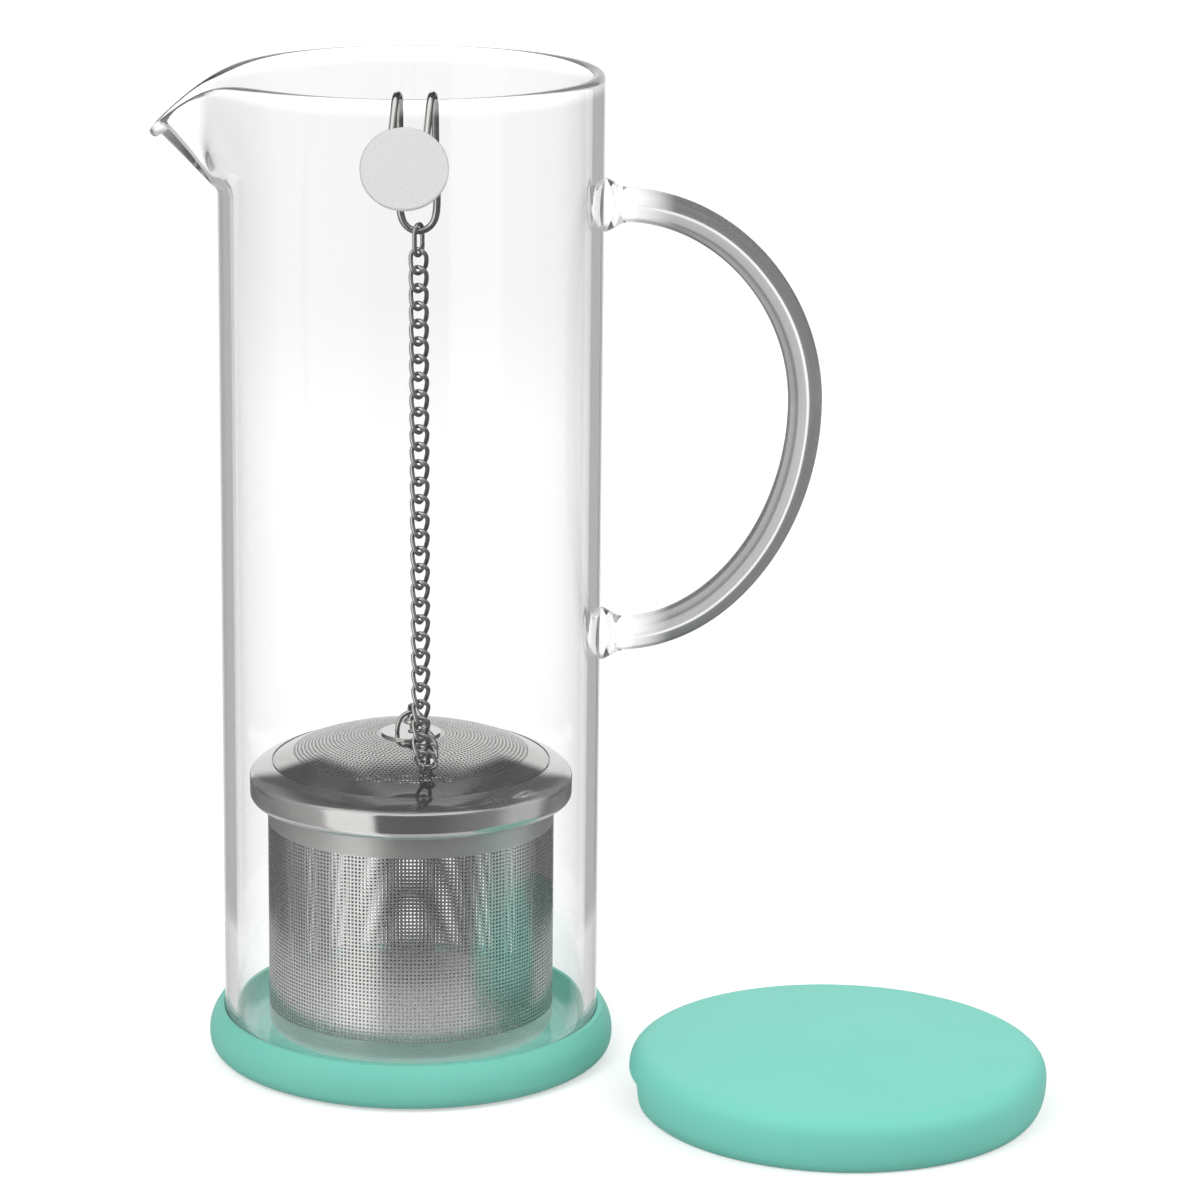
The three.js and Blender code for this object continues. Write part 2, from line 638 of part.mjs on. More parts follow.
// Straight down from the hook, round the fold, back over the dome and up to the bail.
function chainPath() {
  const foldEnd = lyingPoint(SLACK_BOW, DOME_EDGE - FOLD_INSET - FOLD_RADIUS);
  const halfway = lyingPoint(SLACK_BOW, (PLATE_RADIUS - foldEnd.y) / 2);
  const onPlate = new THREE.Vector3(LINK_WIRE, LANDING_INSET - PLATE_RADIUS, PLATE_TOP + LINK_LIFT);
  const apex = new THREE.Vector3(0, 0, BAIL_APEX);
  const rise = apex.clone().sub(onPlate).normalize();
  const end = apex.clone().addScaledVector(rise, (BAIL_WIRE + LINK_PLAY) / 2);
  const handle = FOLD_RADIUS * FOLD_ROUNDNESS;
  const inward = halfway.clone().sub(foldEnd).normalize();
  const path = new THREE.CurvePath();
  path.add(new THREE.LineCurve3(chainStart, foldTop));
  path.add(new THREE.CubicBezierCurve3(
    foldTop,
    foldTop.clone().addScaledVector(hang, handle),
    foldEnd.clone().addScaledVector(inward, -handle),
    foldEnd,
  ));
  path.add(new THREE.CatmullRomCurve3([foldEnd, halfway, onPlate, end]));
  return path;
}

// A link between two joints of the chain, level with the side direction halfway along it.
function placeLink(name, geometry, start, end, side) {
  const link = place(pitcher, name, geometry, POLISHED);
  const along = end.clone().sub(start).normalize();
  const level = side.clone().addScaledVector(along, -side.dot(along)).normalize();
  const basis = new THREE.Matrix4().makeBasis(along, level, along.clone().cross(level));
  link.quaternion.setFromRotationMatrix(basis);
  link.position.lerpVectors(start, end, 0.5);
  return level;
}

// The sideways direction of a link that is turned about the hanging chain.
function chainSide(roll) {
  return new THREE.Vector3(1, 0, 0).applyAxisAngle(hang, THREE.MathUtils.degToRad(roll));
}

function placeConnector() {
  const hold = (HOOK_WIRE + LINK_WIRE) / 2 + LINK_PLAY;
  const top = hookBottom.clone().addScaledVector(hang, -hold);
  const low = chainStart.clone().addScaledVector(hang, (LINK_WIRE + LINK_PLAY) / 2);
  const geometry = linkGeometry(top.distanceTo(low), hold, 0);
  placeLink('chain_connector', geometry, top, low, chainSide(CONNECTOR_ROLL));
}

function placeChain() {
  const joints = chainPath().getSpacedPoints(LINK_COUNT);
  const pitch = joints[0].distanceTo(joints[1]);
  const geometry = linkGeometry(pitch + LINK_WIRE + LINK_PLAY, LINK_HALF_WIDTH, LINK_TWIST);
  const turn = THREE.MathUtils.degToRad(CHAIN_TURN / LINK_COUNT);
  let side = chainSide(CHAIN_ROLL);
  for (let i = 0; i < LINK_COUNT; i += 1) {
    const name = `chain_link_${String(i + 1).padStart(2, '0')}`;
    const along = joints[i + 1].clone().sub(joints[i]).normalize();
    side = placeLink(name, geometry, joints[i], joints[i + 1], side).applyAxisAngle(along, turn);
  }
}

placeConnector();
placeChain();

export default pitcher;
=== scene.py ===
"""Looks of an infusion pitcher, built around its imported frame.

A clear glass jug with a pulled lip and a rod handle stands in a mint silicone boot. A perforated steel
capsule stands inside it on a curb chain, whose hook and round tag hang on the rim. The lid lies beside it.
Everything is in metres, +Z up, with the origin at the centre of the boot's underside.
"""

from __future__ import annotations

import logging
import math
from dataclasses import dataclass, field
from enum import Enum
from typing import Iterable, Sequence

import bmesh
import bpy
import numpy as np
from bmesh.types import BMesh
from bpy.types import Node, NodeSocket
from mathutils import Matrix, Vector

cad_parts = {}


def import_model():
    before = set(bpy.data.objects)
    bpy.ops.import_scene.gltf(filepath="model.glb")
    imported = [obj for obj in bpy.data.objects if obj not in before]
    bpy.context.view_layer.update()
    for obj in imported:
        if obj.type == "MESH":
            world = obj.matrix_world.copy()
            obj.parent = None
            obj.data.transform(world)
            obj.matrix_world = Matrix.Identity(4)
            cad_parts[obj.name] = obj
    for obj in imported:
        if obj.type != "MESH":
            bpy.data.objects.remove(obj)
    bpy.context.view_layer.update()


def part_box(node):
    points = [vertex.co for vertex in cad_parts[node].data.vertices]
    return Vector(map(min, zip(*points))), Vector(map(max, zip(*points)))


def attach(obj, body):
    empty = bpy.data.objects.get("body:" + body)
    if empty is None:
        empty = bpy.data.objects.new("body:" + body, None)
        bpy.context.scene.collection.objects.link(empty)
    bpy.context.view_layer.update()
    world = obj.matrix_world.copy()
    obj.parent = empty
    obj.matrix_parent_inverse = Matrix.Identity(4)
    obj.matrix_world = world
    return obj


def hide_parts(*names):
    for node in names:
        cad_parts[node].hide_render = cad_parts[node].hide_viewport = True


LOG = logging.getLogger("pitcher")
MM = 0.001
WELD_DISTANCE = 1e-7
MERGE_DISTANCE = 1e-6
# Towards the key lamp: faces that look away from it get painted shade.
KEY_DIRECTION = (-0.41, -0.57, 0.71)
LEVEL_PLANE = (1.0, 1.0, 0.0)
HANDLE_PLANE = (1.0, 0.0, 1.0)
UP = (0.0, 0.0, 1.0)
WHITE = (1.0, 1.0, 1.0, 1.0)

Span = tuple[float, float]
Triple = tuple[float, float, float]
Table = tuple[Span, ...]
Outline = list[Vector]


class Slot(Enum):
    """The record's material slots."""

    GLASS = "glass"
    SILICONE = "silicone"
    POLISHED = "polished_steel"
    SATIN = "satin_steel"


class Body(Enum):
    """The frame's moving bodies."""

    JUG = "jug"
    BASE = "base"
    LID = "lid"
    BASKET = "basket"
    CAP = "cap"
    STRING = "string"


class PaintedShade(Enum):
    """Which faces of a finish get painted shade, with the band of facing over which it fades out."""

    NONE = ()
    # Painted shade on the faces that look to the pitcher's axis.
    AXIS = (-0.001, 0.001)
    # Painted shade on the faces that look away from the key lamp.
    LAMP = (0.1, 0.9)


class Grain(Enum):
    """The run of the fine lines in a steel surface, with their number in a metre and their detail."""

    TURNED = (3800.0, 3.0)
    DRAWN = ((2600.0, 2600.0, 60.0), 3.0)
    SCUFFED = ((900.0, 900.0, 900.0), 4.0)


# Outlines and curves


def corners(*places: Span) -> Outline:
    """Corners of an outline, each given as a radius and a height."""
    return [Vector(place) for place in places]


def arc(centre: Span, radius: float, start: float, end: float, steps: int) -> Outline:
    """Points along a circular arc of an outline.

    Args:
        centre: Radius and height of the arc's centre.
        radius: The arc's own radius.
        start: Angle of the first point, in degrees from the outward direction.
        end: Angle of the last point.
        steps: Number of straight steps along the arc.

    Returns:
        The points, both ends included.
    """
    angles = [math.radians(start + (end - start) * i / steps) for i in range(steps + 1)]
    return [Vector((centre[0] + radius * math.cos(a), centre[1] + radius * math.sin(a))) for a in angles]


def bezier(handles: Sequence[Sequence[float]], steps: int) -> list[Vector]:
    """Points along a Bezier curve of any degree.

    Args:
        handles: The curve's control points.
        steps: Number of straight steps along the curve.

    Returns:
        The points, both ends included.
    """
    points = []
    for i in range(steps + 1):
        level = [Vector(handle) for handle in handles]
        while len(level) > 1:
            level = [a.lerp(b, i / steps) for a, b in zip(level, level[1:])]
        points.append(level[0])
    return points


def straight(start: Sequence[float], end: Sequence[float], steps: int) -> list[Vector]:
    """Evenly spaced points from start to end, both included."""
    return [Vector(start).lerp(Vector(end), i / steps) for i in range(steps + 1)]


# Meshes


def circle_edges(bm: BMesh, segments: int, radius: float, matrix: Matrix) -> list[bmesh.types.BMEdge]:
    """Add an open circle to a mesh.

    Args:
        bm: The mesh.
        segments: Number of edges.
        radius: The circle's radius.
        matrix: Its place, with the circle in the local XY plane.

    Returns:
        The circle's edges.
    """
    made = bmesh.ops.create_circle(bm, cap_ends=False, segments=segments, radius=radius, matrix=matrix)
    return list({edge for vert in made["verts"] for edge in vert.link_edges})


def turned(outline: Outline, segments: int, closed: bool) -> BMesh:
    """Spin an outline about the Z axis.

    Args:
        outline: Radius and height of each point.
        segments: Steps of the full turn.
        closed: True where the outline is a ring, false where both ends lie on the axis.

    Returns:
        The closed mesh.
    """
    bm = bmesh.new()
    verts = [bm.verts.new((point.x, 0.0, point.y)) for point in outline]
    ends = verts[1:] + (verts[:1] if closed else [])
    edges = [bm.edges.new(pair) for pair in zip(verts, ends)]
    whole = {"cent": (0.0, 0.0, 0.0), "axis": UP, "angle": math.tau, "steps": segments}
    bmesh.ops.spin(bm, geom=verts + edges, use_merge=True, **whole)
    bmesh.ops.remove_doubles(bm, verts=bm.verts, dist=WELD_DISTANCE)
    bmesh.ops.recalc_face_normals(bm, faces=bm.faces)
    return bm


def swept(path: Sequence[Vector], radii: Sequence[float], sides: int, closed: bool) -> BMesh:
    """Carry a round section along a path.

    Args:
        path: Points of the centreline.
        radii: The section's radius at each point.
        sides: Sides of the section.
        closed: True where the path is a loop.

    Returns:
        The closed mesh.
    """
    bm = bmesh.new()
    count = len(path)
    tangents = []
    for i in range(count):
        before = path[i - 1] if closed or i else path[0]
        after = path[(i + 1) % count] if closed or i < count - 1 else path[i]
        tangents.append((after - before).normalized())
    turn = Vector(UP).rotation_difference(tangents[0])
    rings = []
    for i, point in enumerate(path):
        if i:
            turn = tangents[i - 1].rotation_difference(tangents[i]) @ turn
        place = Matrix.Translation(point) @ turn.to_matrix().to_4x4()
        rings.append(circle_edges(bm, sides, radii[i], place))
    for first, second in zip(rings, rings[1:]):
        bmesh.ops.bridge_loops(bm, edges=first + second)
    if closed:
        bmesh.ops.bridge_loops(bm, edges=rings[-1] + rings[0])
    else:
        bmesh.ops.edgeloop_fill(bm, edges=rings[0])
        bmesh.ops.edgeloop_fill(bm, edges=rings[-1])
    bmesh.ops.recalc_face_normals(bm, faces=bm.faces)
    return bm


def thicken(bm: BMesh, move: Matrix) -> None:
    """Make an open sheet a closed body.

    Args:
        bm: The sheet's mesh.
        move: Takes the sheet's own face to its other face.
    """
    made = bmesh.ops.extrude_face_region(bm, geom=bm.faces[:], use_keep_orig=True)
    other = [part for part in made["geom"] if isinstance(part, bmesh.types.BMVert)]
    bmesh.ops.transform(bm, matrix=move, verts=other)
    bmesh.ops.recalc_face_normals(bm, faces=bm.faces)


def node_copy(node: str) -> BMesh:
    """Copy a frame node's mesh, merged, with its flat triangle pairs joined to quads.

    Args:
        node: The node's name.

    Returns:
        The copy.
    """
    bm = bmesh.new()
    bm.from_mesh(bpy.data.objects[node].data)
    bmesh.ops.remove_doubles(bm, verts=bm.verts, dist=MERGE_DISTANCE)
    any_angle = {"angle_face_threshold": math.pi, "angle_shape_threshold": math.pi}
    bmesh.ops.join_triangles(bm, faces=bm.faces, **any_angle)
    return bm


def node_axes(node: str) -> Matrix:
    """The place of a frame node, from the spread of its corners.

    Args:
        node: The node's name.

    Returns:
        A matrix with the node's centre, and its longest, middle and shortest directions as X, Y and Z.
    """
    bm = node_copy(node)
    points = np.array([vert.co for vert in bm.verts])
    bm.free()
    centre = points.mean(axis=0)
    _, directions = np.linalg.eigh(np.cov((points - centre).T))
    long, middle = Vector(directions[:, 2]), Vector(directions[:, 1])
    turn = Matrix((long, middle, long.cross(middle))).transposed()
    return Matrix.Translation(Vector(centre)) @ turn.to_4x4()


def node_points(node: str, axes: Matrix) -> list[Vector]:
    """The corners of a frame node, measured along its own axes."""
    return [axes.inverted() @ vert.co for vert in bpy.data.objects[node].data.vertices]


def boolean(target: BMesh, tool: BMesh, operation: str) -> BMesh:
    """Join one closed mesh to another, or cut it away.

    Args:
        target: The mesh to change, which is used up.
        tool: The mesh to add or to cut with, which is used up.
        operation: UNION or DIFFERENCE.

    Returns:
        The resulting mesh.
    """
    objects = []
    for bm in (target, tool):
        mesh = bpy.data.meshes.new("boolean")
        bm.to_mesh(mesh)
        bm.free()
        objects.append(bpy.data.objects.new("boolean", mesh))
        bpy.context.scene.collection.objects.link(objects[-1])
    modifier = objects[0].modifiers.new("boolean", "BOOLEAN")
    modifier.operation = operation
    modifier.solver = "EXACT"
    modifier.object = objects[1]
    depsgraph = bpy.context.evaluated_depsgraph_get()
    result = bmesh.new()
    result.from_object(objects[0], depsgraph)
    for made in objects:
        bpy.data.objects.remove(made)
    bmesh.ops.remove_doubles(result, verts=result.verts, dist=MERGE_DISTANCE)
    return result


# Materials


def rgba(colour: Iterable[float]) -> tuple[float, ...]:
    """A colour with full alpha."""
    return (*colour, 1.0)


class NodeBoard:
    """A node tree with short calls to add and join nodes."""

    def __init__(self, tree: bpy.types.NodeTree) -> None:
        """Start from an empty tree."""
        self.tree = tree
        tree.nodes.clear()

    def fill(self, node: Node, inputs: dict[str | int, object]) -> None:
        """Link a node's inputs to other sockets, or set them to plain values.

        Args:
            node: The node.
            inputs: Values or sockets for its inputs, by name or number.
        """
        for name, value in inputs.items():
            if isinstance(value, NodeSocket):
                self.tree.links.new(value, node.inputs[name])
            else:
                node.inputs[name].default_value = value

    def add(self, kind: str, inputs: dict[str | int, object] | None = None, **settings: object) -> Node:
        """Add a shader node.

        Args:
            kind: The node's type, without its ShaderNode prefix.
            inputs: Values or sockets for its inputs, by name or number.
            settings: Values for its own properties.

        Returns:
            The node.
        """
        node = self.tree.nodes.new("ShaderNode" + kind)
        for name, value in settings.items():
            setattr(node, name, value)
        self.fill(node, inputs or {})
        return node

    def math(self, operation: str, *operands: object) -> NodeSocket:
        """The result of a Math node."""
        return self.add("Math", dict(enumerate(operands)), operation=operation).outputs[0]

    def vector(self, operation: str, *operands: object) -> NodeSocket:
        """The result of a Vector Math node: a number for a product or a length, or else a vector."""
        outputs = self.add("VectorMath", dict(enumerate(operands)), operation=operation).outputs
        return outputs["Value" if operation in ("DOT_PRODUCT", "LENGTH") else "Vector"]

    def place(self) -> NodeSocket:
        """The point's Object coordinates."""
        return self.add("TexCoord").outputs["Object"]

    def axes(self, vector: NodeSocket) -> Iterable[NodeSocket]:
        """The X, Y and Z of a vector."""
        return self.add("SeparateXYZ", {"Vector": vector}).outputs

    def mirrored(self) -> NodeSocket:
        """1 for light that has been mirrored on its way to the eye, 0 for other light."""
        return self.math("GREATER_THAN", self.add("LightPath").outputs["Glossy Depth"], 0.5)

    def ramp(self, value: object, low: float, high: float, start: float, end: float) -> NodeSocket:
        """A smooth step of a value from start, at low, to end, at high."""
        inputs = {"Value": value, "From Min": low, "From Max": high, "To Min": start, "To Max": end}
        return self.add("MapRange", inputs, interpolation_type="SMOOTHSTEP").outputs["Result"]

    def stops(self, value: object, table: Table) -> NodeSocket:
        """A grey level that follows a table.

        Args:
            value: A number from 0, the table's first place, to 1, its last.
            table: Pairs of a place and the level there.

        Returns:
            The level.
        """
        node = self.add("ValToRGB", {"Fac": value})
        elements = node.color_ramp.elements
        start, end = table[0][0], table[-1][0]
        for element, (_, level) in zip(elements, (table[0], table[-1])):
            element.color = rgba((level, level, level))
        for place, level in table[1:-1]:
            elements.new((place - start) / (end - start)).color = rgba((level, level, level))
        return node.outputs["Color"]

    def blend(self, share: object, first: object, second: object) -> NodeSocket:
        """Mix two colours.

        Args:
            share: The second colour's share.
            first: The first colour.
            second: The second colour.

        Returns:
            The mixed colour.
        """
        node = self.add("Mix", data_type="RGBA")
        numbers = {socket.identifier: number for number, socket in enumerate(node.inputs)}
        values = {"Factor_Float": share, "A_Color": first, "B_Color": second}
        self.fill(node, {numbers[name]: value for name, value in values.items()})
        return next(socket for socket in node.outputs if socket.identifier == "Result_Color")

    def mix(self, share: object, first: Node, second: Node) -> Node:
        """A mix of two shaders, by a share of the second."""
        return self.add("MixShader", {0: share, 1: first.outputs[0], 2: second.outputs[0]})


@dataclass(frozen=True)
class Finish:
    """A finish that makes one procedural material."""

    name: str

    def material(self) -> bpy.types.Material:
        """Make the finish's material at its first use.

        Returns:
            The material.
        """
        found = bpy.data.materials.get(self.name)
        if found is None:
            found = bpy.data.materials.new(self.name)
            found.use_nodes = True
            board = NodeBoard(found.node_tree)
            shader = board.add("BsdfPrincipled")
            board.fill(shader, self.sockets(board))
            board.add("OutputMaterial", {"Surface": shader.outputs["BSDF"]})
        return found

    def sockets(self, board: NodeBoard) -> dict[str | int, object]:
        """Values and links for the shader's sockets; each finish has its own."""
        raise NotImplementedError

    @staticmethod
    def noise(board: NodeBoard, scale: Triple, detail: float) -> NodeSocket:
        """Noise on Object coordinates.

        Args:
            board: The material's nodes.
            scale: Cells in a metre along each axis.
            detail: How fine the noise is.

        Returns:
            The noise, from 0 to 1.
        """
        mapping = board.add("Mapping", {"Vector": board.place(), "Scale": scale})
        inputs = {"Vector": mapping.outputs["Vector"], "Scale": 1.0, "Detail": detail}
        return board.add("TexNoise", inputs).outputs["Fac"]

    @staticmethod
    def bump(board: NodeBoard, height: NodeSocket, strength: float, depth: float) -> NodeSocket:
        """A bumped normal from a height."""
        node = board.add("Bump", {"Height": height, "Strength": strength, "Distance": depth})
        return node.outputs["Normal"]


@dataclass(frozen=True)
class GlassFinish(Finish):
    """Clear drawn glass with faint lengthwise waves, painted light and dark rod bands, and a painted glow."""

    tint: Triple = (0.994, 0.998, 0.996)
    ior: float = 1.47
    roughness: float = 0.0
    wave_scale: Triple = (90.0, 90.0, 9.0)
    wave_detail: float = 2.0
    wave_depth: float = 0.25 * MM
    wave_strength: float = 0.03
    # A painted glow: white light given off by the glass at its rim, lip and welds, though it is no lamp.
    painted_glow_level: float = 0.12
    glow_rim_reach: Span = (248.0 * MM, 251.5 * MM)
    lip_reach: Span = (48.5 * MM, 52.0 * MM)
    glow_lip_share: float = 0.35
    glow_weld_start: Span = (47.8 * MM, 49.0 * MM)
    glow_weld_end: Span = (54.0 * MM, 57.0 * MM)
    rod_centre: Triple = (50.0 * MM, 0.0, 165.5 * MM)
    rod_fade: Span = (54.0 * MM, 66.0 * MM)
    # Painted shade at the rod's edges: over this band of facing the colour falls to the next level.
    rod_turn: Span = (0.45, 0.85)
    painted_edge_level: float = 0.4
    drift: float = 0.3
    drift_scale: Triple = (24.0, 24.0, 24.0)
    drift_detail: float = 1.0
    # Painted light and shade across the rod: grey levels by the turn of its surface, from inward (-1) to
    # outward (1).
    painted_band_levels: Table = (
        (-1.0, 0.03), (-0.9, 0.04), (-0.84, 0.16), (-0.64, 0.12), (-0.57, 0.05), (-0.48, 0.05), (-0.38, 0.2),
        (0.02, 0.26), (0.08, 0.9), (0.15, 0.9), (0.22, 0.05), (0.5, 0.035), (0.8, 0.035), (1.0, 0.05),
    )

    def painted_glow_share(self, board: NodeBoard) -> NodeSocket:
        """Where the glass has its painted glow.

        Args:
            board: The material's nodes.

        Returns:
            1 at the rim and in the welds, less in the lip, and 0 elsewhere.
        """
        x, _, z = board.axes(board.place())
        rim = board.ramp(z, *self.glow_rim_reach, 0.0, 1.0)
        lip = board.ramp(board.math("MULTIPLY", x, -1.0), *self.lip_reach, 0.0, self.glow_lip_share)
        weld = board.ramp(x, *self.glow_weld_start, 0.0, 1.0)
        weld = board.math("MULTIPLY", weld, board.ramp(x, *self.glow_weld_end, 1.0, 0.0))
        return board.math("MAXIMUM", board.math("MAXIMUM", rim, lip), weld)

    def painted_rod_bands(self, board: NodeBoard) -> NodeSocket:
        """The glass's colour, with painted bands that stand in for bent light in the handle's rod.

        Args:
            board: The material's nodes.

        Returns:
            The tint, or on the rod's outer surface the painted level for its turn to the handle's outside.
        """
        place = board.add("TexCoord")
        outward = board.vector("SUBTRACT", place.outputs["Object"], self.rod_centre)
        outward = board.vector("NORMALIZE", board.vector("MULTIPLY", outward, HANDLE_PLANE))
        across = board.vector("DOT_PRODUCT", outward, place.outputs["Normal"])
        drift = board.math("SUBTRACT", self.noise(board, self.drift_scale, self.drift_detail), 0.5)
        across = board.math("MULTIPLY_ADD", drift, self.drift, across)
        # Painted light and shade: the bands' grey levels become the rod's colour.
        bands = board.stops(board.math("MULTIPLY_ADD", across, 0.5, 0.5), self.painted_band_levels)
        # Painted shade where the rod's surface turns from the eye.
        edge = board.ramp(board.add("LayerWeight").outputs["Facing"], *self.rod_turn, 1.0, self.painted_edge_level)
        x, _, _ = board.axes(place.outputs["Object"])
        outside = board.math("SUBTRACT", 1.0, board.add("NewGeometry").outputs["Backfacing"])
        share = board.math("MULTIPLY", outside, board.ramp(x, *self.rod_fade, 0.0, 1.0))
        return board.blend(share, rgba(self.tint), board.math("MULTIPLY", bands, edge))

    def sockets(self, board: NodeBoard) -> dict[str | int, object]:
        """Values and links for the shader's sockets.

        Args:
            board: The material's nodes.

        Returns:
            The values by socket.
        """
        waves = self.noise(board, self.wave_scale, self.wave_detail)
        return {
            "Base Color": self.painted_rod_bands(board),
            # Painted glow: the glass gives off white light at the rim, lip and welds.
            "Emission Color": WHITE,
            "Emission Strength": board.math("MULTIPLY", self.painted_glow_share(board), self.painted_glow_level),
            "Roughness": self.roughness,
            "IOR": self.ior,
            "Transmission Weight": 1.0,
            "Normal": self.bump(board, waves, self.wave_strength, self.wave_depth),
        }


@dataclass(frozen=True)
class SiliconeFinish(Finish):
    """Moulded silicone: soft satin, slightly translucent, with a fine matt tooth and faint cloudiness."""

    deep: Triple = (0.170, 0.550, 0.450)
    pale: Triple = (0.200, 0.600, 0.495)
    cloud_scale: Triple = (38.0, 38.0, 38.0)
    cloud_detail: float = 3.0
    tooth_scale: Triple = (5200.0, 5200.0, 5200.0)
    tooth_detail: float = 2.0
    tooth_range: Span = (0.3, 0.7)
    tooth_strength: float = 0.12
    tooth_depth: float = 0.04 * MM
    roughness: Span = (0.42, 0.56)
    ior: float = 1.41
    scatter: float = 0.18
    scatter_depth: Triple = (1.0, 2.2, 1.9)
    mirror_loss: float = 0.4
    mirror_grey: Triple = (0.55, 0.55, 0.55)

    def sockets(self, board: NodeBoard) -> dict[str | int, object]:
        """Values and links for the shader's sockets, with a greyer colour in mirrors.

        Args:
            board: The material's nodes.

        Returns:
            The values by socket.
        """
        tooth = self.noise(board, self.tooth_scale, self.tooth_detail)
        cloud = self.noise(board, self.cloud_scale, self.cloud_detail)
        colour = board.blend(cloud, rgba(self.deep), rgba(self.pale))
        lost = board.math("MULTIPLY", board.mirrored(), self.mirror_loss)
        return {
            "Base Color": board.blend(lost, colour, rgba(self.mirror_grey)),
            "Roughness": board.ramp(tooth, *self.tooth_range, *self.roughness),
            "Normal": self.bump(board, tooth, self.tooth_strength, self.tooth_depth),
            "IOR": self.ior,
            "Subsurface Weight": self.scatter,
            "Subsurface Radius": self.scatter_depth,
            "Subsurface Scale": MM,
        }


@dataclass(frozen=True)
class SteelFinish(Finish):
    """Stainless steel with fine lines in one direction, and painted shade on some faces if chosen."""

    colour: Triple
    roughness: Span
    grain: Grain
    line_strength: float
    # Which faces get painted shade, and the share of the colour that they keep.
    painted_shade: PaintedShade = PaintedShade.NONE
    painted_shade_share: float = 0.15
    metal: float = 1.0
    line_range: Span = (0.25, 0.75)
    line_depth: float = 0.02 * MM

    def sockets(self, board: NodeBoard) -> dict[str | int, object]:
        """Values and links for the shader's sockets.

        Args:
            board: The material's nodes.

        Returns:
            The values by socket.
        """
        lines = self.lines(board)
        return {
            "Base Color": rgba(self.colour) if self.painted_shade is PaintedShade.NONE else self.painted_shade_colour(board),
            "Metallic": self.metal,
            "Roughness": board.ramp(lines, *self.line_range, *self.roughness),
            "Normal": self.bump(board, lines, self.line_strength, self.line_depth),
        }

    def painted_shade_colour(self, board: NodeBoard) -> NodeSocket:
        """The colour, with painted shade on the faces picked for it.

        Args:
            board: The material's nodes.

        Returns:
            The colour.
        """
        place = board.add("TexCoord")
        lit: object = KEY_DIRECTION
        if self.painted_shade is PaintedShade.AXIS:
            lit = board.vector("MULTIPLY", place.outputs["Object"], LEVEL_PLANE)
        facing = board.vector("DOT_PRODUCT", lit, place.outputs["Normal"])
        # The painted shade: the colour cut to its given share.
        dark = [level * self.painted_shade_share for level in self.colour]
        return board.blend(board.ramp(facing, *self.painted_shade.value, 0.0, 1.0), rgba(dark), rgba(self.colour))

    def lines(self, board: NodeBoard) -> NodeSocket:
        """The height of the fine lines.

        Args:
            board: The material's nodes.

        Returns:
            The height, from 0 to 1.
        """
        scale, detail = self.grain.value
        if self.grain is not Grain.TURNED:
            return self.noise(board, scale, detail)
        x, y, z = board.axes(board.place())
        square = board.math("ADD", board.math("POWER", x, 2.0), board.math("POWER", y, 2.0))
        ring = board.math("ADD", board.math("SQRT", square), z)
        inputs = {"W": board.math("MULTIPLY", ring, scale), "Scale": 1.0, "Detail": detail}
        return board.add("TexNoise", inputs, noise_dimensions="1D").outputs["Fac"]


CLEAR_GLASS = GlassFinish("clear_glass")
MINT_SILICONE = SiliconeFinish("mint_silicone")
LID_SILICONE = SiliconeFinish(
    "lid_silicone", deep=(0.172, 0.600, 0.497), pale=(0.205, 0.647, 0.543), mirror_grey=(0.22, 0.22, 0.22)
)
POLISHED_STEEL = SteelFinish("polished_steel", (0.66, 0.655, 0.64), (0.02, 0.06), Grain.TURNED, 0.0)
# Satin and mesh steel carry painted shade on inward faces, wire steel on faces away from the key lamp.
SATIN_STEEL = SteelFinish("satin_steel", (0.56, 0.555, 0.54), (0.07, 0.13), Grain.TURNED, 0.02, PaintedShade.AXIS)
PAN_STEEL = SteelFinish("pan_steel", (0.98, 0.97, 0.95), (0.26, 0.36), Grain.TURNED, 0.05)
DOME_STEEL = SteelFinish("dome_steel", (0.57, 0.565, 0.55), (0.04, 0.08), Grain.TURNED, 0.0)
MESH_STEEL = SteelFinish("mesh_steel", (0.80, 0.795, 0.78), (0.20, 0.28), Grain.SCUFFED, 0.0, PaintedShade.AXIS)
WIRE_STEEL = SteelFinish("wire_steel", (0.84, 0.83, 0.81), (0.05, 0.12), Grain.SCUFFED, 0.0, PaintedShade.LAMP)
TAG_STEEL = SteelFinish("tag_steel", (0.69, 0.675, 0.69), (0.24, 0.36), Grain.DRAWN, 0.03, metal=0.4)


# Pieces


def piece(
    name: str,
    bm: BMesh,
    finish: Finish,
    body: Body,
    nodes: Iterable[str] = (),
    sharp: float = 40.0,
    shades: bool = True,
) -> bpy.types.Object:
    """Make a mesh a finished piece of the pitcher.

    Args:
        name: The piece's name.
        bm: Its mesh in the frame's coordinates, which is used up.
        finish: Its finish.
        body: The body it moves with.
        nodes: The frame's nodes that it stands for.
        sharp: Edges that bend by more than this many degrees stay crisp.
        shades: False for pieces through or round which light gets to the boot.

    Returns:
        The piece.
    """
    mesh = bpy.data.meshes.new(name)
    bm.to_mesh(mesh)
    bm.free()
    mesh.polygons.foreach_set("use_smooth", [True] * len(mesh.polygons))
    mesh.set_sharp_from_angle(angle=math.radians(sharp))
    mesh.materials.append(finish.material())
    made = bpy.data.objects.new(name, mesh)
    bpy.context.scene.collection.objects.link(made)
    made.visible_shadow = made.visible_diffuse = shades
    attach(made, body.value)
    if nodes:
        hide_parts(*nodes)
    LOG.info("%s: %d faces on %s", name, len(mesh.polygons), body.value)
    return made


def dress_node(node: str, finish: Finish) -> None:
    """Give a frame node that stays in view its finish.

    Args:
        node: The node's name.
        finish: Its finish.
    """
    shown = bpy.data.objects[node]
    shown.data.materials.clear()
    shown.data.materials.append(finish.material())
    LOG.info("%s: frame node in %s", node, finish.name)


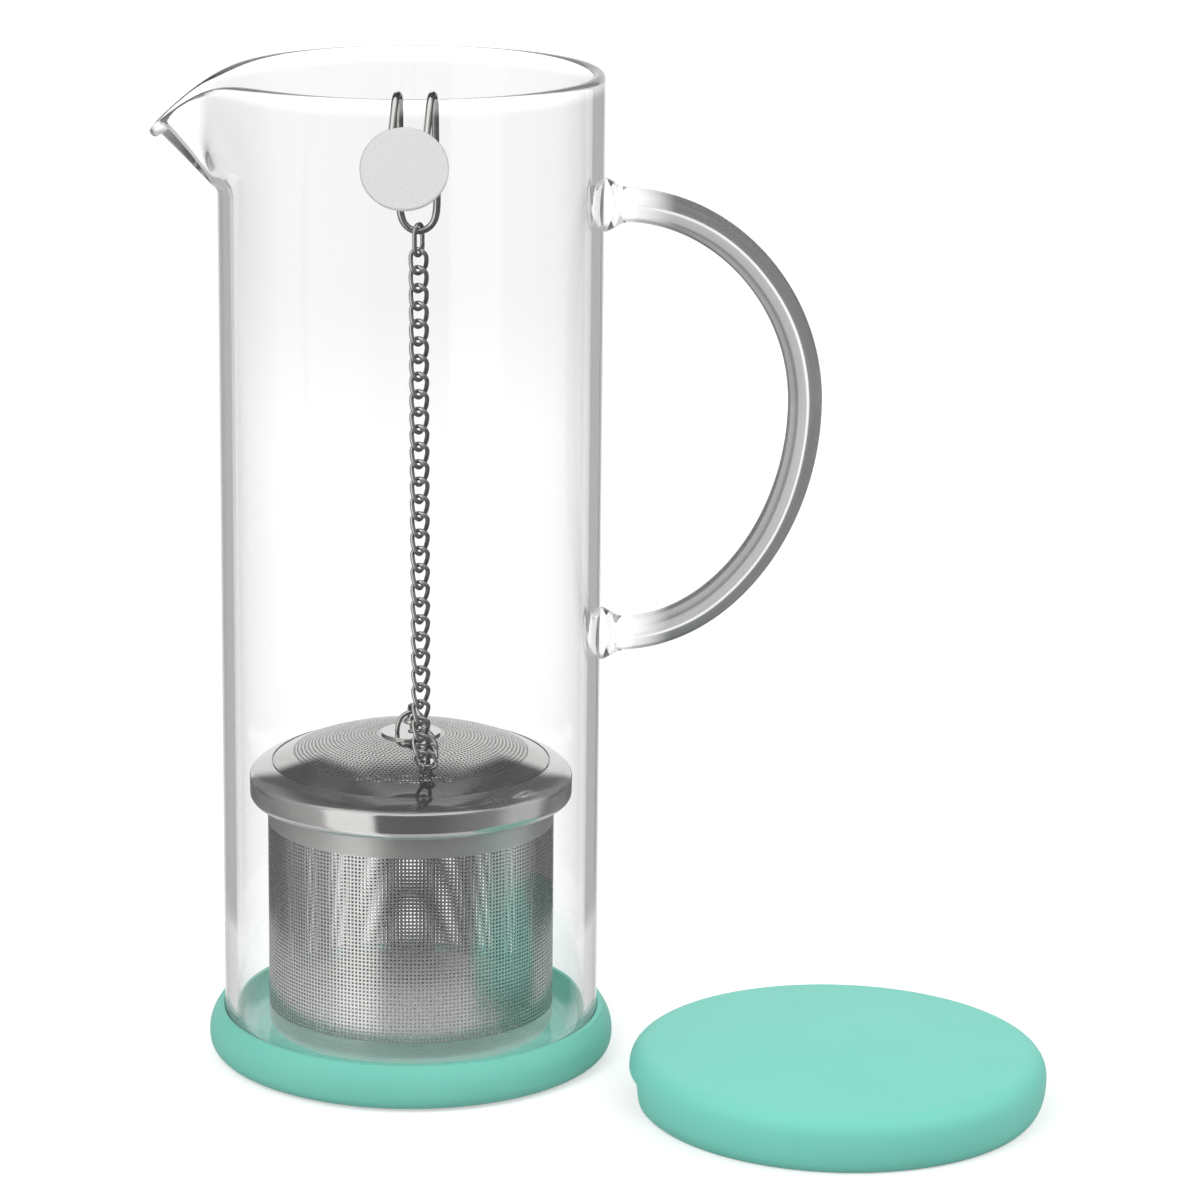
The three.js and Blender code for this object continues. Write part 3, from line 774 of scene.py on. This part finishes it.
@dataclass
class GlassJug:
    """The fused glass: cylinder with its floor and pulled lip, rod handle and the two flared welds."""

    wall: float = 3 * MM
    floor: float = 3.5 * MM
    heel: float = 8 * MM
    rim_height: float = 253 * MM
    lip_reach: float = 16.5 * MM
    lip_fall: float = 10.3 * MM
    lip_curl: float = 2.9 * MM
    lip_depth: float = 29 * MM
    lip_curl_depth: float = 6.5 * MM
    lip_ease: float = 3 * MM
    lip_spread: float = 9.3
    lip_bluntness: float = 1.8
    lip_crowding: float = 0.45
    rod: float = 8.6 * MM
    reach: float = 50.7 * MM
    roundness: float = 0.54
    apex_drop: float = 50.2 * MM
    weld: float = 13.5 * MM
    weld_length: float = 4.6 * MM
    weld_taper: float = 1.35
    segments: int = 192
    lip_rings: int = 36
    corner_steps: int = 16
    rod_sides: int = 28
    rod_steps: int = 56
    radius: float = field(init=False)
    underside: float = field(init=False)
    top: float = field(init=False)
    bottom: float = field(init=False)

    def __post_init__(self) -> None:
        """Read the places that the frame gives."""
        low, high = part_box("glass_body")
        self.radius, self.underside = high.x, low.z
        self.top = sum(v.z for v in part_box("upper_handle_weld")) / 2
        self.bottom = sum(v.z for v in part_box("lower_handle_weld")) / 2

    def outline(self) -> Outline:
        """The section of the wall.

        Returns:
            Its points, from the middle of the underside round the rim to the inner floor.
        """
        bore = self.radius - self.wall
        inside = self.underside + self.floor
        edge = self.wall / 2
        inner_heel = self.heel - self.wall
        start = self.rim_height - self.lip_depth
        end = self.rim_height - edge
        steps = self.corner_steps
        points = corners((0.0, self.underside))
        points += arc((self.radius - self.heel, self.underside + self.heel), self.heel, -90, 0, steps)
        points += straight((self.radius, start), (self.radius, end), self.lip_rings)[:-1]
        points += arc((self.radius - edge, end), edge, 0, 180, steps)
        points += straight((bore, end), (bore, start), self.lip_rings)[1:]
        points += arc((bore - inner_heel, inside + inner_heel), inner_heel, 0, -90, steps)
        return points + corners((0.0, inside))

    def pulled(self, radius: float, height: float, pull: float) -> Vector:
        """A point of the wall's section, drawn out and down, and curled over near the rim.

        Args:
            radius: The point's radius in the round wall.
            height: Its height in the round wall.
            pull: Share of the lip's full reach at the point's bearing.

        Returns:
            The point's new radius and height.
        """
        run = self.lip_depth - self.wall / 2
        curl_run = self.lip_curl_depth - self.wall / 2
        middle = self.radius - self.wall / 2
        climb = height - (self.rim_height - self.lip_depth)
        rise = min(max(climb, 0.0), run)
        beyond = max(climb - run, 0.0)
        across = radius - middle
        curl = max(rise - run + curl_run, 0.0) / curl_run
        out = self.lip_reach * pull * rise / run
        fall = self.lip_fall * pull * rise / run + self.lip_curl * pull**2 * curl**2
        ease = min(rise / self.lip_ease, 1.0)
        slope = self.lip_fall * pull / run + 2 * self.lip_curl * pull**2 * curl / curl_run
        along = Vector((ease * self.lip_reach * pull / run, 1.0 - ease * slope)).normalized()
        offset = Vector((along.y * across + along.x * beyond, along.y * beyond - along.x * across))
        return Vector((middle + out, height - beyond - fall)) + offset

    def pull_lip(self, bm: BMesh) -> None:
        """Draw the rim out and down to a pouring lip at -X.

        Args:
            bm: The round wall's mesh.
        """
        for vert in bm.verts:
            even = math.atan2(vert.co.y, -vert.co.x)
            bearing = even - self.lip_crowding * math.sin(even)
            aside = math.hypot(math.degrees(bearing), self.lip_bluntness) - self.lip_bluntness
            point = self.pulled(vert.co.xy.length, vert.co.z, math.exp(-aside / self.lip_spread))
            vert.co = (-point.x * math.cos(bearing), point.x * math.sin(bearing), point.y)

    def handle(self) -> BMesh:
        """The handle's rod, flared at both welds.

        Returns:
            The mesh, from inside the wall out to the apex and back.
        """
        root = self.radius - self.wall / 2
        face = self.radius + self.weld_length
        apex = self.radius + self.reach
        middle = self.top - self.apex_drop
        out = face + (apex - face) * self.roundness
        branches = []
        for height in (self.top, self.bottom):
            bent = middle + (height - middle) * self.roundness
            foot = straight((root, 0, height), (face, 0, height), self.corner_steps)
            handles = [(face, 0, height), (out, 0, height), (apex, 0, bent), (apex, 0, middle)]
            branches.append(foot + bezier(handles, self.rod_steps)[1:])
        path = branches[0] + branches[1][-2::-1]
        return swept(path, [self.rod_radius(point) for point in path], self.rod_sides, closed=False)

    def rod_radius(self, point: Vector) -> float:
        """The rod's radius, which is larger in the welds.

        Args:
            point: A point of the rod's centreline.

        Returns:
            The radius there.
        """
        along = max(point.x - self.radius, 0.0) / self.weld_length
        welded = min(abs(point.z - self.top), abs(point.z - self.bottom)) < self.weld
        share = math.exp(-((self.weld_taper * along) ** 2)) if welded else 0.0
        return self.rod / 2 + (self.weld - self.rod) / 2 * share

    def build(self) -> None:
        """Make the fused glass."""
        bm = turned(self.outline(), self.segments, closed=False)
        self.pull_lip(bm)
        fused = boolean(bm, self.handle(), "UNION")
        nodes = ("glass_body", "glass_handle", "upper_handle_weld", "lower_handle_weld")
        piece("pitcher_glass", fused, CLEAR_GLASS, Body.JUG, nodes, shades=False)


@dataclass
class SiliconeBoot:
    """The non-slip boot under the glass."""

    floor: float = 3 * MM
    belly: float = 4.5 * MM
    flare: float = 4 * MM
    fit: float = 0.3 * MM
    lip: float = 1.2 * MM
    fillet: float = 6 * MM
    segments: int = 192
    steps: int = 14

    def build(self) -> None:
        """Make the boot."""
        _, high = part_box("silicone_base")
        radius, height = high.x, high.z
        bore = radius - self.flare + self.fit
        lip = bore + self.lip
        heel = [(radius - self.belly, 0), (radius, 0), (radius, self.belly)]
        waist = [(radius, (self.belly + height) / 2), ((radius + lip) / 2, height - self.flare / 2)]
        points = corners((0.0, 0.0)) + bezier(heel, self.steps)
        points += bezier([heel[-1], *waist, (lip, height)], self.steps)[1:]
        points += corners((bore, height))
        points += arc((bore - self.fillet, self.floor + self.fillet), self.fillet, 0, -90, self.steps)
        points += corners((0.0, self.floor))
        bm = turned(points, self.segments, closed=False)
        piece("boot", bm, MINT_SILICONE, Body.BASE, ["silicone_base"])


@dataclass
class SiliconeLid:
    """The lid, with a skirt round the rim, a plug in the bore and a notch for the lip."""

    fit: float = 0.3 * MM
    overhang: float = 4 * MM
    glass_wall: float = 3 * MM
    belly_height: float = 8.5 * MM
    tuck_height: float = 2.1 * MM
    shoulder_height: float = 14.4 * MM
    shoulder_inset: float = 7 * MM
    skirt_edge: float = 0.9 * MM
    seat: float = 11.5 * MM
    ceiling: float = 13 * MM
    plug_wall: float = 2.5 * MM
    plug_edge: float = 3 * MM
    notch_width: float = 24 * MM
    notch_height: float = 8.5 * MM
    notch_round: float = 1.2 * MM
    notch_steps: int = 4
    segments: int = 192
    steps: int = 14

    def outline(self, radius: float, height: float) -> Outline:
        """The section of the lid.

        Args:
            radius: The lid's largest radius.
            height: Its height.

        Returns:
            Its points, from the skirt's edge over the top to the ceiling and the plug.
        """
        skirt = radius - self.overhang + self.fit
        plug = radius - self.overhang - self.glass_wall - self.fit
        bore = plug - self.plug_wall
        belly = (radius, self.belly_height)
        shoulder = (radius - self.shoulder_inset, self.shoulder_height)
        points = bezier([(skirt + self.skirt_edge, 0), (radius, self.tuck_height), belly], self.steps)
        points += bezier([belly, (radius, self.shoulder_height), shoulder], self.steps)[1:]
        points += bezier([shoulder, (shoulder[0] / 2, height), (0, height)], self.steps)[1:]
        points += corners((0.0, self.ceiling), (bore, self.ceiling), (bore, self.plug_edge))
        return points + corners((plug, self.plug_edge), (plug, self.seat), (skirt, self.seat), (skirt, 0.0))

    def notch(self, radius: float) -> BMesh:
        """The block that cuts the notch for the lip.

        Args:
            radius: The lid's largest radius.

        Returns:
            The block's mesh, round at its edges, at the lid's side.
        """
        bm = bmesh.new()
        bmesh.ops.create_cube(bm, size=1.0)
        size = (2 * (self.overhang + self.glass_wall), self.notch_width, 2 * self.notch_height)
        bmesh.ops.scale(bm, vec=size, verts=bm.verts)
        bmesh.ops.translate(bm, vec=(-radius, 0, 0), verts=bm.verts)
        shape = {"offset": self.notch_round, "segments": self.notch_steps, "profile": 0.5}
        bmesh.ops.bevel(bm, geom=bm.edges, affect="EDGES", material=-1, **shape)
        return bm

    def build(self) -> None:
        """Make the lid where the frame has it."""
        low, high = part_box("silicone_lid")
        radius, height = (high.y - low.y) / 2, high.z
        bm = turned(self.outline(radius, height), self.segments, closed=True)
        lid = boolean(bm, self.notch(radius), "DIFFERENCE")
        centre = (low + high) / 2
        bmesh.ops.translate(lid, vec=(centre.x, centre.y, 0), verts=lid.verts)
        piece("lid_shell", lid, LID_SILICONE, Body.LID, ["silicone_lid"])


@dataclass
class Basket:
    """The capsule's basket: perforated wall with a plain band, pressed floor pan and collar bead."""

    sheet: float = 0.8 * MM
    mesh_sheet: float = 0.25 * MM
    mesh_top: float = 61.9 * MM
    pan_corner: float = 3 * MM
    collar_round: float = 2.7 * MM
    collar_gap: float = 0.05 * MM
    hole_pitch: float = 0.98 * MM
    hole_web: float = 0.2 * MM
    segments: int = 192
    steps: int = 8

    def wall_half(self, name: str, start: float, nodes: Iterable[str]) -> None:
        """Make half the perforated wall: a flat punched sheet, rolled to a half round.

        Args:
            name: The half's name.
            start: Angle at which the half begins.
            nodes: The frame nodes that it stands for.
        """
        low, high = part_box("basket_wall")
        radius = high.x
        height = self.mesh_top - low.z
        columns = round(math.pi * radius / self.hole_pitch)
        rows = round(height / self.hole_pitch)
        bm = bmesh.new()
        bmesh.ops.create_grid(bm, x_segments=columns, y_segments=rows, size=0.5)
        bmesh.ops.scale(bm, vec=(math.pi * radius, height, 1.0), verts=bm.verts)
        holes = bm.faces[:]
        bmesh.ops.inset_individual(bm, faces=holes, thickness=self.hole_web, use_even_offset=True)
        bmesh.ops.delete(bm, geom=holes, context="FACES_ONLY")
        for vert in bm.verts:
            angle = start + vert.co.x / radius + math.pi / 2
            vert.co = (radius * math.cos(angle), radius * math.sin(angle), low.z + height / 2 + vert.co.y)
        inward = 1.0 - self.mesh_sheet / radius
        thicken(bm, Matrix.Diagonal((inward, inward, 1.0, 1.0)))
        piece(name, bm, MESH_STEEL, Body.BASKET, nodes, shades=False)

    def band(self) -> None:
        """Make the plain band between the mesh and the collar."""
        _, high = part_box("basket_wall")
        inner = high.x - self.mesh_sheet
        points = corners((high.x, self.mesh_top), (high.x, high.z), (inner, high.z), (inner, self.mesh_top))
        piece("basket_band", turned(points, self.segments, closed=True), SATIN_STEEL, Body.BASKET)

    def pan(self) -> None:
        """Make the pressed floor pan."""
        low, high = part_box("basket_floor_pan")
        centre = (high.x - self.pan_corner, low.z + self.pan_corner)
        points = corners((0.0, low.z))
        points += arc(centre, self.pan_corner, -90, 0, self.steps)
        points += corners((high.x, high.z), (high.x - self.sheet, high.z))
        points += arc(centre, self.pan_corner - self.sheet, 0, -90, self.steps)
        points += corners((0.0, low.z + self.sheet))
        bm = turned(points, self.segments, closed=False)
        piece("basket_pan", bm, PAN_STEEL, Body.BASKET, ["basket_floor_pan"], shades=False)

    def collar(self) -> None:
        """Make the collar bead under the cap."""
        low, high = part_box("basket_collar")
        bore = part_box("basket_wall")[1].x + self.collar_gap
        inner = bore + self.sheet
        turn = (high.x - self.collar_round, low.z + self.collar_round)
        points = corners((bore, low.z))
        points += arc(turn, self.collar_round, -90, 0, self.steps)
        points += corners((high.x, high.z), (high.x - self.sheet, high.z))
        points += arc(turn, self.collar_round - self.sheet, 0, -90, self.steps)
        points += corners((inner, low.z + self.sheet), (inner, high.z), (bore, high.z))
        bm = turned(points, self.segments, closed=True)
        piece("basket_bead", bm, POLISHED_STEEL, Body.BASKET, ["basket_collar"])

    def build(self) -> None:
        """Make the basket's pieces."""
        self.wall_half("basket_mesh_front", math.pi, ["basket_wall"])
        self.wall_half("basket_mesh_back", 0.0, [])
        self.band()
        self.pan()
        self.collar()


@dataclass
class Cap:
    """The capsule's cap: polished rim, dome with rings of etched holes, and the sleeve under them."""

    sheet: float = 0.8 * MM
    seam: float = 0.45 * MM
    rim_fall: float = 3.4 * MM
    rim_slope: float = 1 * MM
    rim_round: float = 1 * MM
    dome_sheet: float = 0.25 * MM
    flat: float = 8.0 * MM
    hole: float = 2.3 * MM
    holes_start: float = 8.8 * MM
    holes_end: float = 30.0 * MM
    ring_pitch: float = 0.9 * MM
    hole_pitch: float = 1.1 * MM
    hole_size: float = 0.52 * MM
    hole_group: int = 4
    segments: int = 192
    steps: int = 10

    def rim(self) -> None:
        """Make the polished rim, sloping from the seam round the dome down to its outer side."""
        low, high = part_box("cap_rim")
        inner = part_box("cap_mesh_dome")[1].x + self.seam
        crown = (inner + high.x) / 2
        edge = high.z - self.rim_fall
        bend = edge + self.rim_round
        side, under = high.x - self.sheet, high.z - self.sheet
        top = [(high.x, edge), (high.x, bend), (crown, high.z - self.rim_slope), (inner, high.z)]
        below = [(inner, under), (crown, under - self.rim_slope), (side, bend - self.sheet), (side, edge)]
        points = corners((high.x, low.z)) + bezier(top, self.steps) + bezier(below, self.steps)
        bm = turned(points + corners((side, low.z)), self.segments, closed=True)
        piece("cap_bead", bm, POLISHED_STEEL, Body.CAP, ["cap_rim"])

    def dome(self) -> None:
        """Make the dome: plain rings inside and outside, rings of staggered holes between."""
        low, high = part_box("cap_mesh_dome")
        edge = high.x
        drop = high.z - low.z - self.sheet
        bm = bmesh.new()
        here = Matrix.Identity(4)
        rings = round((self.holes_end - self.holes_start) / self.ring_pitch)
        last = circle_edges(bm, self.segments // 2, self.hole, here)
        for i in range(rings):
            radius = self.holes_start + i * self.ring_pitch
            groups = round(math.tau * radius / self.hole_pitch / self.hole_group)
            count = 2 * self.hole_group * groups
            inner = circle_edges(bm, count, radius, here)
            outer = circle_edges(bm, count, radius + self.hole_size, here)
            bmesh.ops.triangle_fill(bm, edges=last + inner, use_beauty=True, normal=UP)
            made = bmesh.ops.bridge_loops(bm, edges=inner + outer)
            holes = [face for face in made["faces"] if self.is_hole(face, count, i)]
            bmesh.ops.delete(bm, geom=holes, context="FACES_ONLY")
            last = outer
        for step in range(1, self.steps + 1):
            radius = self.holes_end + (edge - self.holes_end) * step / self.steps
            ring = circle_edges(bm, self.segments, radius, here)
            bmesh.ops.triangle_fill(bm, edges=last + ring, use_beauty=True, normal=UP)
            last = ring
        for vert in bm.verts:
            share = max(vert.co.xy.length - self.flat, 0.0) / (edge - self.flat)
            vert.co.z = high.z - drop * share**2
        thicken(bm, Matrix.Translation((0.0, 0.0, -self.dome_sheet)))
        piece("cap_dome_sheet", bm, DOME_STEEL, Body.CAP, ["cap_mesh_dome"])

    @staticmethod
    def is_hole(face: bmesh.types.BMFace, count: int, ring: int) -> bool:
        """True for every other face round a ring, counted from the front and shifted ring by ring."""
        middle = face.calc_center_median()
        return (int(math.atan2(middle.x, -middle.y) / math.tau * count + count) + ring) % 2 == 0

    def build(self) -> None:
        """Make the cap's pieces."""
        self.rim()
        self.dome()
        dress_node("cap_sleeve", SATIN_STEEL)


@dataclass
class String:
    """What hangs on the rim: tag, hook, chain, and the bail and centre plate that hold it on the cap."""

    links: int = 38
    link_wire: float = 1.1 * MM
    link_twist: float = math.radians(-90.0)
    link_play: float = 0.5 * MM
    side_play: float = 0.75 * MM
    hook_wire: float = 1.8 * MM
    hook_swell: float = 0.17 * MM
    bail_swell: float = 0.12 * MM
    tag_bevel: float = 0.25 * MM
    plate_bevel: float = 0.2 * MM
    segments: int = 96
    link_steps: int = 44
    link_sides: int = 10
    wire_levels: int = 2

    def link_path(self, length: float, half_width: float, twist: float) -> list[Vector]:
        """The closed centreline of a link along X, its plane turning by the twist from end to end.

        Args:
            length: Length of the centreline's loop.
            half_width: Half the loop's width.
            twist: Turn of its plane from one end to the other.

        Returns:
            The points of the loop.
        """
        side = length / 2 - half_width
        half = self.link_steps // 2
        bend = math.pi * half_width
        points = []
        for i in range(half):
            along = (2 * side + bend) * i / half
            x, across = along - side, half_width
            if along > 2 * side:
                angle = (along - 2 * side) / half_width
                x, across = side + half_width * math.sin(angle), half_width * math.cos(angle)
            turn = x / length * twist
            points.append(Vector((x, across * math.cos(turn), across * math.sin(turn))))
        return points + [Vector((-p.x, -p.y, p.z)) for p in points]

    def link(self, name: str, node: str, half_width: float, twist: float) -> None:
        """Make one link where the frame has it.

        Args:
            name: The link's name.
            node: The frame node that it stands for.
            half_width: Half its loop's width.
            twist: Turn of its plane from one end to the other.
        """
        place = node_axes(node)
        along = [point.x for point in node_points(node, place)]
        path = self.link_path(max(along) - min(along) - self.link_wire, half_width, twist)
        bm = swept(path, [self.link_wire / 2] * len(path), self.link_sides, closed=True)
        bmesh.ops.transform(bm, matrix=place, verts=bm.verts)
        piece(name, bm, WIRE_STEEL, Body.STRING, [node])

    def chain(self) -> None:
        """Make the curb links and the connector on the hook."""
        half_width = self.link_wire + self.side_play
        for i in range(1, self.links + 1):
            self.link(f"link_{i:02d}", f"chain_link_{i:02d}", half_width, self.link_twist)
        connector = (self.hook_wire + self.link_wire) / 2 + self.link_play
        self.link("connector", "chain_connector", connector, 0.0)

    def wire(self, name: str, node: str, swell: float) -> None:
        """Make a bent wire round: the node's own run, smoothed and swollen back to its diameter.

        Args:
            name: The piece's name.
            node: The frame node that it stands for.
            swell: How far the surface moves out before it is smoothed.
        """
        bm = node_copy(node)
        bm.normal_update()
        moved = {vert: vert.normal * swell for vert in bm.verts}
        for vert, step in moved.items():
            vert.co += step
        made = piece(name, bm, WIRE_STEEL, Body.STRING, [node], sharp=180.0)
        smooth = made.modifiers.new("round", "SUBSURF")
        smooth.levels = smooth.render_levels = self.wire_levels

    def tag(self) -> None:
        """Make the round tag with its softened edge."""
        place = node_axes("tag_disc")
        points = node_points("tag_disc", place)
        radius = max(point.xy.length for point in points)
        half = max(point.z for point in points)
        flat, side = radius - self.tag_bevel, half - self.tag_bevel
        outline = corners((0.0, -half), (flat, -half), (radius, -side))
        outline += corners((radius, side), (flat, half), (0.0, half))
        bm = turned(outline, self.segments, closed=False)
        bmesh.ops.transform(bm, matrix=place, verts=bm.verts)
        piece("tag", bm, TAG_STEEL, Body.STRING, ["tag_disc"])

    def plate(self) -> None:
        """Make the centre plate."""
        low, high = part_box("cap_centre_plate")
        flat, side = high.x - self.plate_bevel, high.z - self.plate_bevel
        points = corners((0.0, low.z), (high.x, low.z), (high.x, side), (flat, high.z), (0.0, high.z))
        bm = turned(points, self.segments, closed=False)
        piece("centre_plate", bm, POLISHED_STEEL, Body.STRING, ["cap_centre_plate"])

    def build(self) -> None:
        """Make the string's pieces."""
        self.chain()
        self.wire("hook", "hook_wire", self.hook_swell)
        self.wire("bail", "chain_bail", self.bail_swell)
        self.tag()
        self.plate()
        dress_node("swivel_rivet", SATIN_STEEL)


# Studio


@dataclass(frozen=True)
class Lamp:
    """A square soft lamp that faces the pitcher and isn't seen in glass and steel."""

    name: str
    place: Triple
    size: float
    power: float
    aim: Triple = (0.03, 0.0, 0.08)

    def hang(self) -> None:
        """Add the lamp to the scene."""
        data = bpy.data.lights.new(self.name, "AREA")
        data.size = self.size
        data.energy = self.power
        made = bpy.data.objects.new(self.name, data)
        made.location = self.place
        made.rotation_euler = (Vector(self.aim) - Vector(self.place)).to_track_quat("-Z", "Y").to_euler()
        made.visible_glossy = made.visible_transmission = False
        bpy.context.scene.collection.objects.link(made)


@dataclass(frozen=True)
class Studio:
    """A pale floor, soft lamps, a plain surround, and the camera at the photograph's angle."""

    camera_place: Triple = (0.0, -1.1565, 0.41905)
    camera_pitch: float = 14.563
    lens: float = 141.58
    shift: float = 0.1576
    nearest: float = 0.01
    floor_half: float = 3.0
    floor_height: float = -0.0002
    floor_colour: Triple = (0.62, 0.62, 0.62)
    floor_glow: Span = (0.50, 0.66)
    glow_reach: Span = (0.20, 0.90)
    near_floor: Span = (0.10, 0.14)
    mirrored_floor: float = 0.43
    sky_level: Span = (0.52, 0.79)
    sky_band: Span = (0.0, 0.8)
    steel_band: Span = (0.58, 0.82)
    backdrop_width: Span = (0.80, 0.88)
    backdrop_foot: Span = (-0.14, -0.04)
    glass_band: Span = (0.32, 0.62)
    through_level: Span = (1.12, 1.0)
    through_band: Span = (-0.225, -0.185)
    through_wall: float = 2.5
    glass_ceiling: Triple = (0.38, 0.38, 0.38)
    edge_level: Triple = (0.44, 0.44, 0.44)
    steel_walls: Table = (
        (-180.0, 1.0), (-165.0, 1.0), (-161.0, 0.05), (-125.0, 0.07), (-112.0, 0.22), (-90.0, 0.36),
        (-64.0, 0.45), (-60.0, 1.0), (-27.0, 1.0), (-24.0, 0.10), (15.0, 0.09), (40.0, 0.18), (60.0, 0.24),
        (75.0, 0.56), (98.0, 0.56), (108.0, 0.18), (125.0, 0.08), (161.0, 0.06), (165.0, 1.0), (180.0, 1.0),
    )
    steel_ceiling: Table = (
        (-180.0, 0.07), (-105.0, 0.07), (-85.0, 0.95), (60.0, 0.95), (85.0, 0.07), (180.0, 0.07),
    )
    lamps: tuple[Lamp, ...] = (
        Lamp("key_lamp", (-0.55, -0.75, 0.95), 0.6, 7.0),
        Lamp("fill_lamp", (0.75, -0.25, 0.75), 0.5, 2.5),
    )

    def camera(self) -> None:
        """Set up the camera."""
        data = bpy.data.cameras.new("camera")
        data.lens = self.lens
        data.shift_x = self.shift
        data.clip_start = self.nearest
        made = bpy.data.objects.new("camera", data)
        made.location = self.camera_place
        made.rotation_euler = (math.radians(90.0 - self.camera_pitch), 0.0, 0.0)
        bpy.context.scene.collection.objects.link(made)
        bpy.context.scene.camera = made

    def floor(self) -> None:
        """Lay the floor of white paper."""
        bm = bmesh.new()
        bmesh.ops.create_grid(bm, x_segments=1, y_segments=1, size=self.floor_half)
        mesh = bpy.data.meshes.new("floor")
        bm.to_mesh(mesh)
        bm.free()
        mesh.materials.append(self.paper())
        made = bpy.data.objects.new("floor", mesh)
        made.location.z = self.floor_height
        bpy.context.scene.collection.objects.link(made)

    def paper(self) -> bpy.types.Material:
        """Paper that keeps shadows, is seen through glass only near the boot, and is half lost in mirrors.

        Returns:
            The material.
        """
        material = bpy.data.materials.new("white_paper")
        material.use_nodes = True
        board = NodeBoard(material.node_tree)
        rays = board.add("LightPath").outputs
        away = board.vector("LENGTH", board.place())
        seen = board.math("MAXIMUM", rays["Is Camera Ray"], rays["Is Glossy Ray"])
        seen = board.math("MAXIMUM", seen, rays["Is Transmission Ray"])
        level = board.ramp(away, *self.glow_reach, *self.floor_glow)
        glow = board.add("Emission", {"Strength": board.math("MULTIPLY", seen, level)})
        paper = board.add("BsdfDiffuse", {"Color": rgba(self.floor_colour)})
        lit = board.add("AddShader", {0: paper.outputs[0], 1: glow.outputs[0]})
        far = board.ramp(away, *self.near_floor, 0.0, 1.0)
        far = board.math("MULTIPLY", far, rays["Is Transmission Ray"])
        lost = board.math("MULTIPLY", board.mirrored(), 1.0 - self.mirrored_floor)
        mixed = board.mix(board.math("MAXIMUM", far, lost), lit, board.add("BsdfTransparent"))
        board.add("OutputMaterial", {"Surface": mixed.outputs[0]})
        return material

    def steel_surround(self, board: NodeBoard, direction: NodeSocket) -> NodeSocket:
        """The light and dark walls, backdrop and ceiling that steel mirrors.

        Args:
            board: The world's nodes.
            direction: The direction of the light.

        Returns:
            The level.
        """
        x, y, z = board.axes(direction)
        angle = board.math("ARCTAN2", x, board.math("MULTIPLY", y, -1.0))
        bearing = board.math("MULTIPLY_ADD", angle, 1.0 / math.tau, 0.5)
        foot = board.ramp(z, *self.backdrop_foot, 0.0, 1.0)
        backdrop = board.math("MULTIPLY", board.ramp(y, *self.backdrop_width, 0.0, 1.0), foot)
        walls = board.math("MAXIMUM", backdrop, board.stops(bearing, self.steel_walls))
        high = board.ramp(z, *self.steel_band, 0.0, 1.0)
        return board.blend(high, walls, board.stops(bearing, self.steel_ceiling))

    def world(self) -> None:
        """Surround the scene: white to the eye, even light, and a studio in glass and steel."""
        world = bpy.data.worlds.new("surround")
        bpy.context.scene.world = world
        world.use_nodes = True
        board = NodeBoard(world.node_tree)
        rays = board.add("LightPath").outputs
        direction = board.add("TexCoord").outputs["Generated"]
        _, _, z = board.axes(direction)
        mirrored = board.mirrored()
        inside = board.math("GREATER_THAN", rays["Transmission Depth"], self.through_wall)
        glassy = board.math("SUBTRACT", 1.0, board.math("MULTIPLY", mirrored, inside))
        glassy = board.math("MULTIPLY", glassy, rays["Is Transmission Ray"])
        through = board.ramp(z, *self.through_band, *self.through_level)
        high = board.ramp(z, *self.glass_band, 0.0, 1.0)
        glass = board.blend(high, through, rgba(self.glass_ceiling))
        glass = board.blend(mirrored, glass, rgba(self.edge_level))
        level = board.blend(glassy, self.steel_surround(board, direction), glass)
        sky = board.ramp(z, *self.sky_band, *self.sky_level)
        fill, studio, white = (
            board.add("Background", {"Color": WHITE, "Strength": strength}) for strength in (sky, level, 1.0)
        )
        bent = board.math("MAXIMUM", rays["Is Glossy Ray"], rays["Is Transmission Ray"])
        shown = board.mix(rays["Is Camera Ray"], board.mix(bent, fill, studio), white)
        board.add("OutputWorld", {"Surface": shown.outputs[0]})

    def build(self) -> None:
        """Set up the studio."""
        bpy.context.scene.view_settings.view_transform = "Standard"
        self.camera()
        self.floor()
        self.world()
        for lamp in self.lamps:
            lamp.hang()


def main() -> None:
    """Build the pitcher around its frame."""
    logging.basicConfig(level=logging.INFO, format="%(name)s: %(message)s")
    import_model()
    Studio().build()
    for assembly in (GlassJug(), SiliconeBoot(), SiliconeLid(), Basket(), Cap(), String()):
        assembly.build()


if __name__ == "__main__":
    main()
